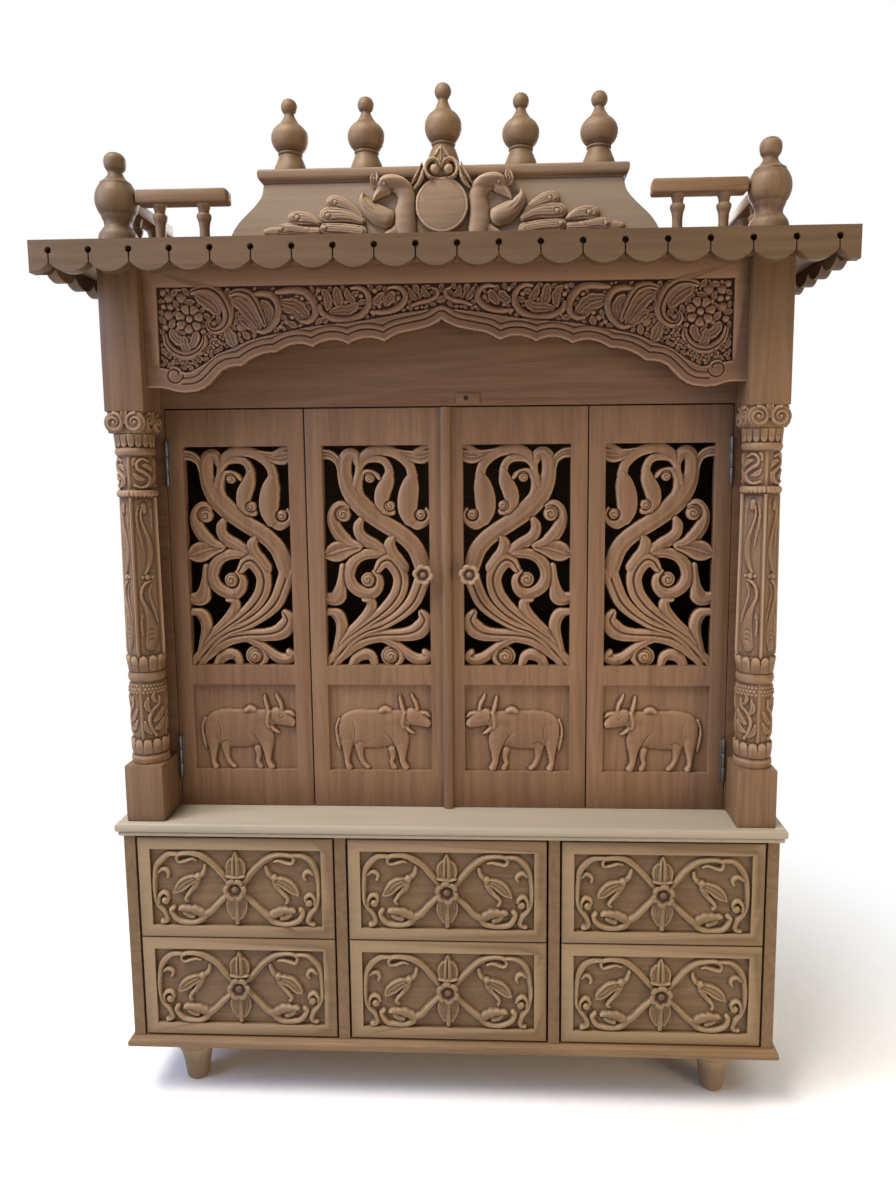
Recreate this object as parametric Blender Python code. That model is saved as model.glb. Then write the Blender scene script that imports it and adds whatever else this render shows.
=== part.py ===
"""Carved wooden home temple (pooja mandir) on a six-drawer base.

Metres, +Z up, front facing -Y. The origin is on the floor, midway across the
width and midway between the front fascia and the back panel.
"""
import math

import bmesh
import bpy
from mathutils import Vector
from mathutils.geometry import delaunay_2d_cdt

MM = 0.001

# Fits
SEAM = 0.3 * MM           # between pieces that are glued or seated face to face
RUN_CLEARANCE = 5 * MM    # round a drawer that slides
LEAF_SEAM = 2 * MM        # between neighbouring door leaves

# Boards
PANEL = 18 * MM           # sides, backs, dividers, fascia
EDGE_BREAK = 1.2 * MM     # softened edges of plain boards
TURNED_SIDES = 12
FLAT_ANGLE = 0.002        # faces this close to level, in radians, become one

# Base cabinet
BASE_WIDTH = 1070 * MM
BASE_DEPTH = 500 * MM
BASE_HEIGHT = 355 * MM    # between the plinth board and the counter top
FOOT_HEIGHT = 98 * MM
FOOT_TOP_RADIUS = 35 * MM
FOOT_END_RADIUS = 20 * MM
FOOT_INSET_X = 83 * MM
FOOT_INSET_Y = 62 * MM
PLINTH_THICKNESS = 17 * MM
PLINTH_OVERHANG = 9 * MM
COUNTER_THICKNESS = 24 * MM
COUNTER_OVERHANG = 10 * MM
DRAWER_ROWS = 2

# Drawers
FRONT_THICKNESS = 18 * MM
FRONT_FRAME = 20 * MM     # plain border round the carved recess
FRONT_RECESS = 6 * MM
VINE_RELIEF = 5 * MM
BOX_WALL = 12 * MM
BOX_FLOOR = 6 * MM
BOX_BACK_GAP = 39 * MM    # behind a closed drawer's box
BOX_HEIGHT = 140 * MM
RUNNER_WIDTH = 20 * MM
RUNNER_HEIGHT = 9 * MM
DRAWER_KNOB_RADIUS = 19 * MM
DRAWER_KNOB_REACH = 16 * MM  # past the floor of the recess
KNOB_STEM = 4 * MM        # sunk into the front
PETALS = 6
PETAL_NOTCH = 0.84        # radius between two petals, as a share of the knob's

# Upper shrine
DOOR_HEIGHT = 675 * MM
UPPER_INSET = 7 * MM      # shrine's sides from the base's sides
JAMB_REVEAL = 2 * MM      # jamb seen beside a pillar
DOOR_PLANE = 73 * MM      # front face of the doors behind the cabinet's front
DOOR_THICKNESS = 20 * MM
FRAME_PLANE = 70 * MM
FRAME_THICKNESS = 20 * MM
PILLAR_WIDTH = 63 * MM
PILLAR_BLOCK = 95 * MM    # square block at the foot of a pillar
PILLAR_TOP_BLOCK = 218 * MM
ARCH_PLANE = 15 * MM
ARCH_THICKNESS = 20 * MM
ARCH_BORDER = 22 * MM
ARCH_TOP_BORDER = 29 * MM
ARCH_FIELD_DEPTH = 7 * MM
FLOWER_RELIEF = 6 * MM

# Door leaf layout, from the leaf's lower corner
WINDOW_MARGIN = 27 * MM
WINDOW_BOTTOM = 246 * MM
WINDOW_TOP = 613 * MM
PANEL_BOTTOM = 64 * MM
PANEL_TOP = 213 * MM
PANEL_RECESS = 7 * MM
COW_RELIEF = 5 * MM
SCROLL_LEVEL = 17 * MM    # scrollwork stands a little behind the leaf's face
ASTRAGAL_RADIUS = 9 * MM
DOOR_KNOB_RADIUS = 20 * MM
DOOR_KNOB_REACH = 24 * MM
DOOR_KNOB_X = 38 * MM
DOOR_KNOB_Z = 402 * MM    # above the counter
HINGE_LENGTH = 73 * MM
HINGE_RADIUS = 4 * MM
HINGE_PLATE = 2 * MM
HINGE_PLATE_WIDTH = 9 * MM
HINGE_CENTRES = (88 * MM, 585 * MM)

# Roof and eaves
ROOF_THICKNESS = 22 * MM
UPPER_HEIGHT = 885 * MM   # counter top to the underside of the roof board
ROOF_OVERHANG = 65 * MM   # past the shrine's sides
ROOF_FRONT = 72 * MM      # front overhang of the fascia past the cabinet
FASCIA_HEIGHT = 46 * MM
LOBES_ACROSS = 20
SIDE_LOBE_START = 24 * MM # first cusp from the front corner
LOBE_DROP = 15 * MM       # depth of each scallop below its cusps
KEYHOLE_RADIUS = 4.8 * MM
KEYHOLE_DROP = 15 * MM    # hole centre below the top of the fascia
SLIT_WIDTH = 1.8 * MM

# Roof furniture
FINIAL_HEIGHT = 131 * MM
FINIAL_INSET = 117 * MM   # from the roof's edge
FINIAL_FRONT = 30 * MM    # in front of the cabinet's front
RAIL_HEIGHT = 20 * MM
RAIL_WIDTH = 30 * MM
RAIL_UNDERSIDE = 56 * MM
RAIL_PAST_PLATE = 19 * MM # front rail's end outside the crown plate
RAIL_SIDE_LENGTH = 150 * MM
BALUSTER_GAPS = (64 * MM, 130 * MM)   # from the corner finial
CROWN_FRONT = 62 * MM
CROWN_DEPTH = 76 * MM
CROWN_HEIGHT = 113 * MM
CROWN_WALL = 14 * MM
CROWN_INSET = 304 * MM    # crown plate's edge from the roof's edge
PLATE_THICKNESS = 20 * MM
PLATE_OVERHANG = 8 * MM
PLATE_EDGE = ((0.0, 0.0), (PLATE_OVERHANG, 6 * MM), (PLATE_OVERHANG, PLATE_THICKNESS - 4 * MM),
              (PLATE_OVERHANG - 2 * MM, PLATE_THICKNESS))    # overhang and level, from the bottom up
END_FINIAL_INSET = 43 * MM
CROWN_FINIAL_HEIGHT = 120 * MM
CROWN_FINIAL_COUNT = 5
MIDDLE_FINIAL_SCALE = 1.15
CARVING_THICKNESS = 15 * MM

# Levels that follow from the sizes above
PLINTH_TOP = FOOT_HEIGHT + PLINTH_THICKNESS
BASE_TOP = PLINTH_TOP + BASE_HEIGHT
COUNTER_TOP = BASE_TOP + COUNTER_THICKNESS
DOOR_TOP = COUNTER_TOP + DOOR_HEIGHT
ROOF_UNDER = COUNTER_TOP + UPPER_HEIGHT
ROOF_TOP = ROOF_UNDER + ROOF_THICKNESS
CROWN_TOP = ROOF_TOP + CROWN_HEIGHT
PLATE_TOP = CROWN_TOP + PLATE_THICKNESS

# Widths and depths that follow
BAY_WIDTH = (BASE_WIDTH - 4 * PANEL) / 3
DIVIDER_X = (BAY_WIDTH + PANEL) / 2
BOX_DEPTH = BASE_DEPTH - FRONT_THICKNESS - PANEL - BOX_BACK_GAP
UPPER_HALF_WIDTH = BASE_WIDTH / 2 - UPPER_INSET
PILLAR_X = UPPER_HALF_WIDTH - PILLAR_WIDTH / 2
ARCH_HALF_WIDTH = UPPER_HALF_WIDTH - PILLAR_WIDTH - SEAM
OPENING_WIDTH = 2 * (UPPER_HALF_WIDTH - PILLAR_WIDTH - JAMB_REVEAL)
ROOF_HALF_WIDTH = UPPER_HALF_WIDTH + ROOF_OVERHANG
LOBE_PITCH = 2 * ROOF_HALF_WIDTH / LOBES_ACROSS
FINIAL_X = ROOF_HALF_WIDTH - FINIAL_INSET
PLATE_HALF_WIDTH = ROOF_HALF_WIDTH - CROWN_INSET
CROWN_FINIAL_PITCH = 2 * (PLATE_HALF_WIDTH - END_FINIAL_INSET) / (CROWN_FINIAL_COUNT - 1)
FRONT_SHIFT = (ROOF_FRONT - BASE_DEPTH) / 2   # cabinet's front plane in the part's frame
PAST_ALL = 1.0            # longer than any piece, for cutting shapes

WOOD = (0.55, 0.36, 0.21, 1.0)
STEEL = (0.62, 0.60, 0.56, 1.0)


def clear_scene():
    for obj in list(bpy.data.objects):
        bpy.data.objects.remove(obj, do_unlink=True)


def material(name, colour, roughness, metallic=0.0):
    found = bpy.data.materials.get(name)
    if found:
        return found
    made = bpy.data.materials.new(name)
    made.use_nodes = True
    shader = made.node_tree.nodes["Principled BSDF"]
    shader.inputs["Base Color"].default_value = colour
    shader.inputs["Roughness"].default_value = roughness
    shader.inputs["Metallic"].default_value = metallic
    return made


def wood():
    return material("teak", WOOD, 0.55)


def steel():
    return material("hinge_steel", STEEL, 0.35, 1.0)


def add_object(name, bm, smooth=False, finish=None):
    """Turns a bmesh, drawn from the cabinet's front plane, into a placed object."""
    bmesh.ops.recalc_face_normals(bm, faces=bm.faces)
    mesh = bpy.data.meshes.new(name)
    bm.to_mesh(mesh)
    bm.free()
    mesh.materials.append(finish or wood())
    obj = bpy.data.objects.new(name, mesh)
    obj.location = (0.0, FRONT_SHIFT, 0.0)
    bpy.context.scene.collection.objects.link(obj)
    if smooth:
        mesh.shade_smooth()
        mesh.set_sharp_from_angle(angle=math.radians(35))
    return obj


def box_mesh(low, high):
    bm = bmesh.new()
    bmesh.ops.create_cube(bm, size=1.0)
    size = Vector(high) - Vector(low)
    centre = (Vector(high) + Vector(low)) / 2
    for vert in bm.verts:
        vert.co = Vector(c * s for c, s in zip(vert.co, size)) + centre
    return bm


def board(name, low, high, edge=EDGE_BREAK, finish=None):
    obj = add_object(name, box_mesh(low, high), finish=finish)
    if edge:
        bevel = obj.modifiers.new("edge break", "BEVEL")
        bevel.width = edge
        bevel.segments = 1
        bevel.limit_method = "ANGLE"
    return obj


def turned(name, profile, centre, segments=TURNED_SIDES, finish=None):
    """A turned solid: (radius, height) pairs from the bottom up, round a vertical axis."""
    bm = bmesh.new()
    rings = []
    for radius, height in profile:
        ring = []
        for step in range(segments if radius > 0 else 1):
            angle = 2 * math.pi * (step + 0.5) / segments
            offset = Vector((radius * math.cos(angle), radius * math.sin(angle), height))
            ring.append(bm.verts.new(Vector(centre) + offset))
        rings.append(ring)
    close_rings(bm, rings)
    return add_object(name, bm, smooth=True, finish=finish)


def close_rings(bm, rings):
    """Skins rings of vertices into one closed solid; a ring of one vertex is a point."""
    for lower, upper in zip(rings, rings[1:]):
        count = max(len(lower), len(upper))
        for step in range(count):
            corners = [lower[step % len(lower)], lower[(step + 1) % len(lower)],
                       upper[(step + 1) % len(upper)], upper[step % len(upper)]]
            bm.faces.new(list(dict.fromkeys(corners)))
    for ring in (rings[0], rings[-1]):
        if len(ring) > 2:
            bm.faces.new(ring)


def fused(obj, *others):
    """Joins overlapping solids into one closed body."""
    return combined(obj, "UNION", others)


def cut(obj, *others):
    return combined(obj, "DIFFERENCE", others)


def combined(obj, operation, others):
    for other in others:
        boolean = obj.modifiers.new(operation.lower(), "BOOLEAN")
        boolean.operation = operation
        boolean.solver = "EXACT"
        boolean.object = other
    bpy.context.view_layer.update()
    evaluated = obj.evaluated_get(bpy.context.evaluated_depsgraph_get())
    mesh = bpy.data.meshes.new_from_object(evaluated)
    obj.modifiers.clear()
    obj.data = mesh
    for other in others:
        bpy.data.objects.remove(other, do_unlink=True)
    return obj


# Flat outlines
def smooth_curve(points, steps=4, closed=False):
    """A Catmull-Rom curve through the points, which may carry a radius as third value."""
    points = [Vector(p) for p in points]
    count = len(points)
    spans = count if closed else count - 1
    out = []
    for i in range(spans):
        if closed:
            a, b, c, d = (points[(i + k) % count] for k in (-1, 0, 1, 2))
        else:
            b, c = points[i], points[i + 1]
            a = points[i - 1] if i else b * 2 - c
            d = points[i + 2] if i + 2 < count else c * 2 - b
        for step in range(steps):
            t = step / steps
            out.append(0.5 * (2 * b + (c - a) * t + (2 * a - 5 * b + 4 * c - d) * t ** 2
                              + (3 * b - a - 3 * c + d) * t ** 3))
    if not closed:
        out.append(points[-1])
    return out


def stroke(points, steps=1):
    """Outline of a tapering stroke; each point is (across, up, half width)."""
    spine = smooth_curve(points, steps)
    left, right = [], []
    for i, here in enumerate(spine):
        ahead = spine[min(i + 1, len(spine) - 1)]
        behind = spine[max(i - 1, 0)]
        along = Vector((ahead[0] - behind[0], ahead[1] - behind[1])).normalized()
        across = Vector((-along.y, along.x)) * max(here[2], 0.0)
        left.append(Vector(here[:2]) + across)
        right.append(Vector(here[:2]) - across)
    start = Vector(spine[0][:2]) * 2 - Vector(spine[1][:2])
    start = Vector(spine[0][:2]) + (start - Vector(spine[0][:2])).normalized() * spine[0][2] * 0.8
    end = Vector(spine[-1][:2]) * 2 - Vector(spine[-2][:2])
    end = Vector(spine[-1][:2]) + (end - Vector(spine[-1][:2])).normalized() * spine[-1][2] * 0.8
    return [start] + left + [end] + right[::-1]


def disc(across, up, radius, count=12):
    return [Vector((across + radius * math.cos(2 * math.pi * k / count),
                    up + radius * math.sin(2 * math.pi * k / count))) for k in range(count)]


def anticlockwise(outline):
    turned_area = sum(a.x * b.y - b.x * a.y for a, b in zip(outline, outline[1:] + outline[:1]))
    return outline if turned_area > 0 else outline[::-1]


def rectangle(low, high):
    return [Vector(low), Vector((high[0], low[1])), Vector(high), Vector((low[0], high[1]))]


def arc_between(start, end, rise, count=4):
    """Points on a circular arc from start to end, rise to its left, without the last one."""
    start, end = Vector(start), Vector(end)
    chord = end - start
    half = chord.length / 2
    radius = (half ** 2 + rise ** 2) / (2 * rise)
    side = Vector((-chord.y, chord.x)).normalized()
    centre = (start + end) / 2 + side * (rise - radius)
    sweep = 2 * math.asin(min(1.0, half / abs(radius)))
    first = start - centre
    angle = math.atan2(first.y, first.x)
    return [centre + Vector((math.cos(angle - sweep * k / count),
                             math.sin(angle - sweep * k / count))) * abs(radius) for k in range(count)]


def carved(name, layers, to_world, finish=None):
    """A flat solid whose face stands at different heights.

    Each layer is (outline, rule, height). "set" gives the height inside the outline,
    "raise" lifts what is lower and "cut" goes right through. The back is at height 0.
    """
    verts, faces = [], []
    for outline, _, _ in layers:
        faces.append(list(range(len(verts), len(verts) + len(outline))))
        verts.extend(anticlockwise([Vector(p[:2]) for p in outline]))
    flat, _, triangles, _, _, sources = delaunay_2d_cdt(verts, [], faces, 1, 1e-6)
    heights = []
    for inside in sources:
        height = 0.0
        for index in sorted(inside):
            _, rule, level = layers[index]
            if rule == "set" or (rule == "raise" and level > height):
                height = level
            elif rule == "cut":
                height = 0.0
        heights.append(height)
    kept = [(tri, h) for tri, h in zip(triangles, heights) if h > 0]
    return relief_solid(name, flat, kept, to_world, finish)


def relief_solid(name, flat, kept, to_world, finish):
    bm = bmesh.new()
    made = {}
    levels = {}
    for tri, height in kept:
        for corner in tri:
            levels.setdefault(corner, {0.0}).add(height)

    def vertex(corner, height):
        key = (corner, round(height, 7))
        if key not in made:
            made[key] = bm.verts.new(to_world(flat[corner][0], flat[corner][1], height))
        return made[key]

    sides = {}
    for tri, height in kept:
        bm.faces.new([vertex(c, height) for c in tri])
        bm.faces.new([vertex(c, 0.0) for c in reversed(tri)])
        for a, b in zip(tri, tri[1:] + tri[:1]):
            sides[(a, b)] = height
    for (a, b), height in sides.items():
        other = sides.get((b, a), 0.0)
        if height > other:
            steps_a = [h for h in sorted(levels[a]) if other <= h <= height]
            steps_b = [h for h in sorted(levels[b]) if other <= h <= height]
            ring = [vertex(a, h) for h in steps_a] + [vertex(b, h) for h in reversed(steps_b)]
            bm.faces.new(ring)
    bm.normal_update()
    bmesh.ops.dissolve_limit(bm, angle_limit=FLAT_ANGLE, verts=bm.verts, edges=bm.edges)
    return add_object(name, bm, finish=finish)


def facing_front(back_plane):
    """Maps an outline drawn in X and Z, with heights towards the front."""
    return lambda across, up, height: (across, back_plane - height, up)


# Base cabinet
# Share of the way from the foot's end radius to its top radius, and share of its height
FOOT_SHAPE = [(-0.19, 0.0), (0.0, 0.04), (0.2, 0.22), (0.67, 0.5), (1.0, 0.75), (1.0, 1.0)]


def feet():
    widening = FOOT_TOP_RADIUS - FOOT_END_RADIUS
    profile = [(FOOT_END_RADIUS + share * widening, height * (FOOT_HEIGHT - SEAM)) for share, height in FOOT_SHAPE]
    for side, x in (("left", -1), ("right", 1)):
        for end, y in (("front", FOOT_INSET_Y), ("back", BASE_DEPTH - FOOT_INSET_Y)):
            turned(f"foot_{end}_{side}", profile, (x * (BASE_WIDTH / 2 - FOOT_INSET_X), y, 0.0))


def moulded_slab(name, half_width, depth, rings):
    """A board with a moulded front and side edge; rings are (overhang, height) from the bottom up."""
    bm = bmesh.new()
    loops = []
    for overhang, height in rings:
        x = half_width + overhang
        corners = [(-x, depth[1]), (-x, depth[0] - overhang), (x, depth[0] - overhang), (x, depth[1])]
        loops.append([bm.verts.new((cx, cy, height)) for cx, cy in corners])
    close_rings(bm, loops)
    return add_object(name, bm)


# Moulded edges: set back from the full overhang, and share of the board's thickness
PLINTH_EDGE = [(3 * MM, 0.0), (0.0, 0.18), (0.0, 0.65), (5 * MM, 1.0)]
COUNTER_EDGE = [(8 * MM, 0.0), (3 * MM, 0.34), (0.0, 0.5), (0.0, 0.83), (3 * MM, 1.0)]


def moulding(edge, overhang, low, high):
    return [(overhang - back, low + share * (high - low)) for back, share in edge]


def base_boards():
    half = BASE_WIDTH / 2
    moulded_slab("plinth_board", half, (0.0, BASE_DEPTH),
                 moulding(PLINTH_EDGE, PLINTH_OVERHANG, FOOT_HEIGHT, PLINTH_TOP))
    moulded_slab("counter_top", half, (0.0, BASE_DEPTH),
                 moulding(COUNTER_EDGE, COUNTER_OVERHANG, BASE_TOP + SEAM, COUNTER_TOP))
    floor = PLINTH_TOP + SEAM
    back = BASE_DEPTH - PANEL
    for side, sign in (("left", -1), ("right", 1)):
        outer, inner = sign * half, sign * (half - PANEL)
        panel = board(f"base_side_{side}", (min(outer, inner), 0.0, floor),
                      (max(outer, inner), BASE_DEPTH, BASE_TOP), edge=0)
        fused(panel, *[runner(inner, -sign, row) for row in range(DRAWER_ROWS)])
        middle = sign * DIVIDER_X
        divider = board(f"base_divider_{side}", (middle - PANEL / 2, 0.0, floor),
                        (middle + PANEL / 2, back - SEAM, BASE_TOP), edge=0)
        fused(divider, *[runner(middle + face * PANEL / 2, face, row)
                         for face in (-1, 1) for row in range(DRAWER_ROWS)])
    board("base_back", (-half + PANEL + SEAM, back, floor), (half - PANEL - SEAM, BASE_DEPTH, BASE_TOP))


def row_floor(row):
    """Lower edge of a drawer front in the given row, counted from the bottom."""
    return PLINTH_TOP + RUN_CLEARANCE + row * (front_height() + RUN_CLEARANCE)


def front_height():
    return (BASE_HEIGHT - RUN_CLEARANCE * (DRAWER_ROWS + 1)) / DRAWER_ROWS


def box_floor(row):
    return row_floor(row) + RUN_CLEARANCE


def runner(face_x, direction, row):
    """A ledge that carries one side of a drawer box, sunk a little into its upright."""
    bite = 2 * MM
    top = box_floor(row) - SEAM
    ends = sorted((face_x - direction * bite, face_x + direction * RUNNER_WIDTH))
    start = FRONT_THICKNESS + RUN_CLEARANCE
    return board("runner", (ends[0], start, top - RUNNER_HEIGHT),
                 (ends[1], BASE_DEPTH - PANEL - SEAM, top), edge=0)


# Drawers
DRAWN_FRONT = (322.67, 170)    # width and height of the front that the strokes below are drawn on
VINES = (
    [(18, 6, 3.5), (34, 28, 4.5), (55, 46, 4.5), (80, 53, 4.5), (108, 48, 4.5), (132, 28, 4.5), (139, -8, 4),
     (130, -40, 3.5), (122, -60, 3.5)],
    [(18, -20, 3.5), (42, -46, 3.5), (84, -61, 4), (116, -54, 3.5)],
    [(62, 20, 3), (80, 5, 10), (92, -8, 9), (106, -16, 3)],
)
# Upright leaves above and below the knob, which stands on the band between them
PALMETTES = [(0, 60, 3), (0, 38, 14), (0, 16, 10), (0, -16, 10), (0, -36, 12), (0, -60, 3)]
# A carved flower knob: (radius, height) as shares of its radius and reach
FLOWER_KNOB = [(0.45, 0.0), (0.5, 0.4), (1.0, 0.72), (0.62, 1.0)]


def scaled(outline, mirror=1, centre=(0.0, 0.0), stretch=(1.0, 1.0)):
    """An outline in millimetres round a centre, mirrored left to right on request."""
    return [Vector((centre[0] + mirror * p[0] * MM * stretch[0], centre[1] + p[1] * MM * stretch[1]))
            for p in outline]


def drawer_front(name, low_x, high_x, low_z):
    high_z = low_z + front_height()
    centre = ((low_x + high_x) / 2, (low_z + high_z) / 2)
    stretch = ((high_x - low_x) / (DRAWN_FRONT[0] * MM), front_height() / (DRAWN_FRONT[1] * MM))
    floor = FRONT_THICKNESS - FRONT_RECESS
    layers = [(rectangle((low_x, low_z), (high_x, high_z)), "set", FRONT_THICKNESS),
              (rectangle((low_x + FRONT_FRAME, low_z + FRONT_FRAME),
                         (high_x - FRONT_FRAME, high_z - FRONT_FRAME)), "set", floor)]
    for mirror in (-1, 1):
        for points in VINES:
            layers.append((scaled(stroke(points), mirror, centre, stretch), "raise", floor + VINE_RELIEF))
    layers.append((scaled(stroke(PALMETTES), 1, centre, stretch), "raise", floor + VINE_RELIEF))
    front = carved(name, layers, facing_front(FRONT_THICKNESS))
    root = FRONT_RECESS + KNOB_STEM
    return fused(front, flower_knob("knob", centre, root, DRAWER_KNOB_RADIUS, DRAWER_KNOB_REACH + KNOB_STEM))


def flower_knob(name, centre, root, radius, reach):
    """A six-petalled knob that points to the front; root is the depth where its stem starts."""
    bm = bmesh.new()
    rings = []
    for share, height in FLOWER_KNOB:
        ring = []
        for k in range(2 * PETALS):
            angle = math.pi * k / PETALS
            lobe = radius * share * (PETAL_NOTCH if k % 2 else 1.0)
            ring.append(bm.verts.new((centre[0] + lobe * math.cos(angle), root - height * reach,
                                      centre[1] + lobe * math.sin(angle))))
        rings.append(ring)
    close_rings(bm, rings)
    return add_object(name, bm, smooth=True)


def drawer_box(name, low_x, high_x, low_z):
    start = FRONT_THICKNESS + SEAM
    outer = rectangle((low_x, start), (high_x, start + BOX_DEPTH))
    inner = rectangle((low_x + BOX_WALL, start + BOX_WALL),
                      (high_x - BOX_WALL, start + BOX_DEPTH - BOX_WALL))
    layers = [(outer, "set", BOX_HEIGHT), (inner, "set", BOX_FLOOR)]
    return carved(name, layers, lambda across, back, height: (across, back, low_z + height))


def drawer_bays():
    """Clear width of each column of drawers, left to right."""
    side = BASE_WIDTH / 2 - PANEL
    near, far = DIVIDER_X - PANEL / 2, DIVIDER_X + PANEL / 2
    return (("left", -side, -far), ("middle", -near, near), ("right", far, side))


def drawers():
    for column, left, right in drawer_bays():
        for row, height in ((0, "bottom"), (1, "top")):
            low_x, high_x = left + RUN_CLEARANCE, right - RUN_CLEARANCE
            drawer_front(f"drawer_front_{height}_{column}", low_x, high_x, row_floor(row))
            drawer_box(f"drawer_box_{height}_{column}", low_x, high_x, box_floor(row))


# Pillars: half width or radius and height above the counter, square below and above
def square_ring(half_x, half_y, count):
    """Corners and edge points of a rectangle, as many as a turned ring of the pillar has."""
    ring = []
    for k in range(count):
        angle = 2 * math.pi * k / count
        c, s = math.cos(angle), math.sin(angle)
        stretch = 1 / max(abs(c), abs(s))
        ring.append((c * stretch * half_x, s * stretch * half_y))
    return ring


PILLAR_COUNT = 8
# Height in millimetres, radius, and share of the way from a round section to a square one set cornerwise
SHAFT = [(0, 28, 0), (3, 29.5, 0), (14, 29, 0), (17, 27, 0), (30, 29, 0), (41, 28.5, 0), (44, 28, 0.4), (75, 29, 0.5),
         (120, 27.5, 0.4), (137, 27, 0.3), (140, 29, 0), (153, 29, 0), (156, 27, 0), (176, 30.5, 0), (181, 31, 1),
         (436, 29, 1), (440, 29.5, 0), (447, 30.5, 0), (450, 28, 0.4), (476, 30, 0.5), (500, 28, 0.4), (504, 30, 0),
         (515, 30, 0), (518, 28, 0), (536, 31, 0), (540, 33, 0), (563, 33, 0), (571, 31, 0)]


def shaft_ring(radius, squareness):
    """A ring of the shaft; every second point draws in where the section is square."""
    inner = radius * (1 - squareness * (1 - math.sqrt(0.5)))
    ring = []
    for k in range(PILLAR_COUNT):
        angle = 2 * math.pi * k / PILLAR_COUNT
        reach = inner if k % 2 else radius
        ring.append((reach * MM * math.cos(angle), reach * MM * math.sin(angle)))
    return ring


def pillar(name, x):
    bm = bmesh.new()
    half = PILLAR_WIDTH / 2
    back = FRAME_PLANE - SEAM
    centre_y = back / 2
    foot = COUNTER_TOP + SEAM
    shoulder = COUNTER_TOP + PILLAR_BLOCK
    capital = ROOF_UNDER - PILLAR_TOP_BLOCK
    stretch = (capital - shoulder) / (SHAFT[-1][0] * MM)
    square = square_ring(half, centre_y, PILLAR_COUNT)
    rings = [(square, foot), (square, shoulder)]
    rings += [(shaft_ring(radius, squareness), shoulder + height * MM * stretch)
              for height, radius, squareness in SHAFT]
    rings += [(square, capital), (square, ROOF_UNDER - SEAM)]
    loops = [[bm.verts.new((x + px, centre_y + py, z)) for px, py in ring] for ring, z in rings]
    close_rings(bm, loops)
    return add_object(name, bm, smooth=True)


# Shrine
def shrine_boards():
    half = UPPER_HALF_WIDTH
    floor = COUNTER_TOP + SEAM
    top = ROOF_UNDER - SEAM
    opening = OPENING_WIDTH / 2
    back = BASE_DEPTH - PANEL
    for side, sign in (("left", -1), ("right", 1)):
        outer, inner = sign * half, sign * (half - PANEL)
        board(f"upper_side_{side}", (min(outer, inner), FRAME_PLANE + FRAME_THICKNESS + SEAM, floor),
              (max(outer, inner), BASE_DEPTH, top))
    board("upper_back", (-half + PANEL + SEAM, back, floor), (half - PANEL - SEAM, BASE_DEPTH, top))
    layers = [(rectangle((-half, floor), (half, top)), "set", FRAME_THICKNESS),
              (rectangle((-opening, floor - PANEL), (opening, DOOR_TOP)), "cut", 0.0)]
    carved("door_frame", layers, facing_front(FRAME_PLANE + FRAME_THICKNESS))


# Half of the arch's lower edge, from the middle outwards: cusps with the rise of each foil
ARCH_CUSPS = [(89, 1263.5, 8), (145, 1260.5, 8.5), (200, 1257, 8.5), (258, 1249, 6), (312, 1230, 0)]
ARCH_OGEE = [(0, 1296), (10, 1289.5), (24, 1284), (45, 1279.5), (70, 1274), (89, 1263.5)]
ARCH_TAIL = [(312, 1230), (334, 1228), (348, 1219), (360, 1207), (374, 1196), (392, 1190.5), (415, 1190.5),
             (433, 1195), (443, 1196)]
ARCH_FIELD = [(0, 1318), (20, 1311), (60, 1306), (100, 1299), (145, 1293), (200, 1288), (262, 1277),
              (300, 1268), (325, 1257), (350, 1248), (372, 1233), (385, 1226), (400, 1221), (443, 1229)]
ARCH_FLOWER = (393, 1303, 22)
ARCH_DATUM = 1379         # the heights above are drawn with the roof's underside here
ARCH_DRAWN_HALF = 464.7   # and the widths for an arch of this half width


def arch_point(point):
    return Vector((point[0] * ARCH_HALF_WIDTH / ARCH_DRAWN_HALF, ROOF_UNDER + (point[1] - ARCH_DATUM) * MM))


def arch_half_edge():
    points = [Vector(p) for p in smooth_curve(ARCH_OGEE, 2)][:-1]
    for (x0, z0, rise), (x1, z1, _) in zip(ARCH_CUSPS, ARCH_CUSPS[1:]):
        points += arc_between((x0, z0), (x1, z1), rise, 4)
    points += [Vector(p) for p in smooth_curve(ARCH_TAIL, 1)]
    return points


def mirrored(right):
    """A line from the middle to the right, with its mirror image before it."""
    return [Vector((-p.x, p.y)) for p in reversed(right)] + [p.copy() for p in right]


def arch_panel():
    half = ARCH_HALF_WIDTH
    top = ROOF_UNDER - SEAM
    right = [arch_point(p) for p in arch_half_edge()]
    outline = mirrored(right[1:] + [Vector((half, right[-1].y)), Vector((half, top))])
    outline.insert(len(outline) // 2, right[0])
    inner = half - ARCH_BORDER
    ceiling = ROOF_UNDER - ARCH_TOP_BORDER
    field = [arch_point(p) for p in smooth_curve(ARCH_FIELD, 2)]
    for point in field:
        point.x = min(point.x, inner)
    sunk = mirrored(field[1:] + [Vector((inner, ceiling))])
    sunk.insert(len(sunk) // 2, field[0])
    floor = ARCH_THICKNESS - ARCH_FIELD_DEPTH
    layers = [(outline, "set", ARCH_THICKNESS), (sunk, "set", floor)]
    flower = arch_point(ARCH_FLOWER)
    for sign in (-1, 1):
        layers.append((disc(sign * flower.x, flower.y, ARCH_FLOWER[2] * MM), "raise", floor + FLOWER_RELIEF))
    return carved("arch_panel", layers, facing_front(ARCH_PLANE + ARCH_THICKNESS))


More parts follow.
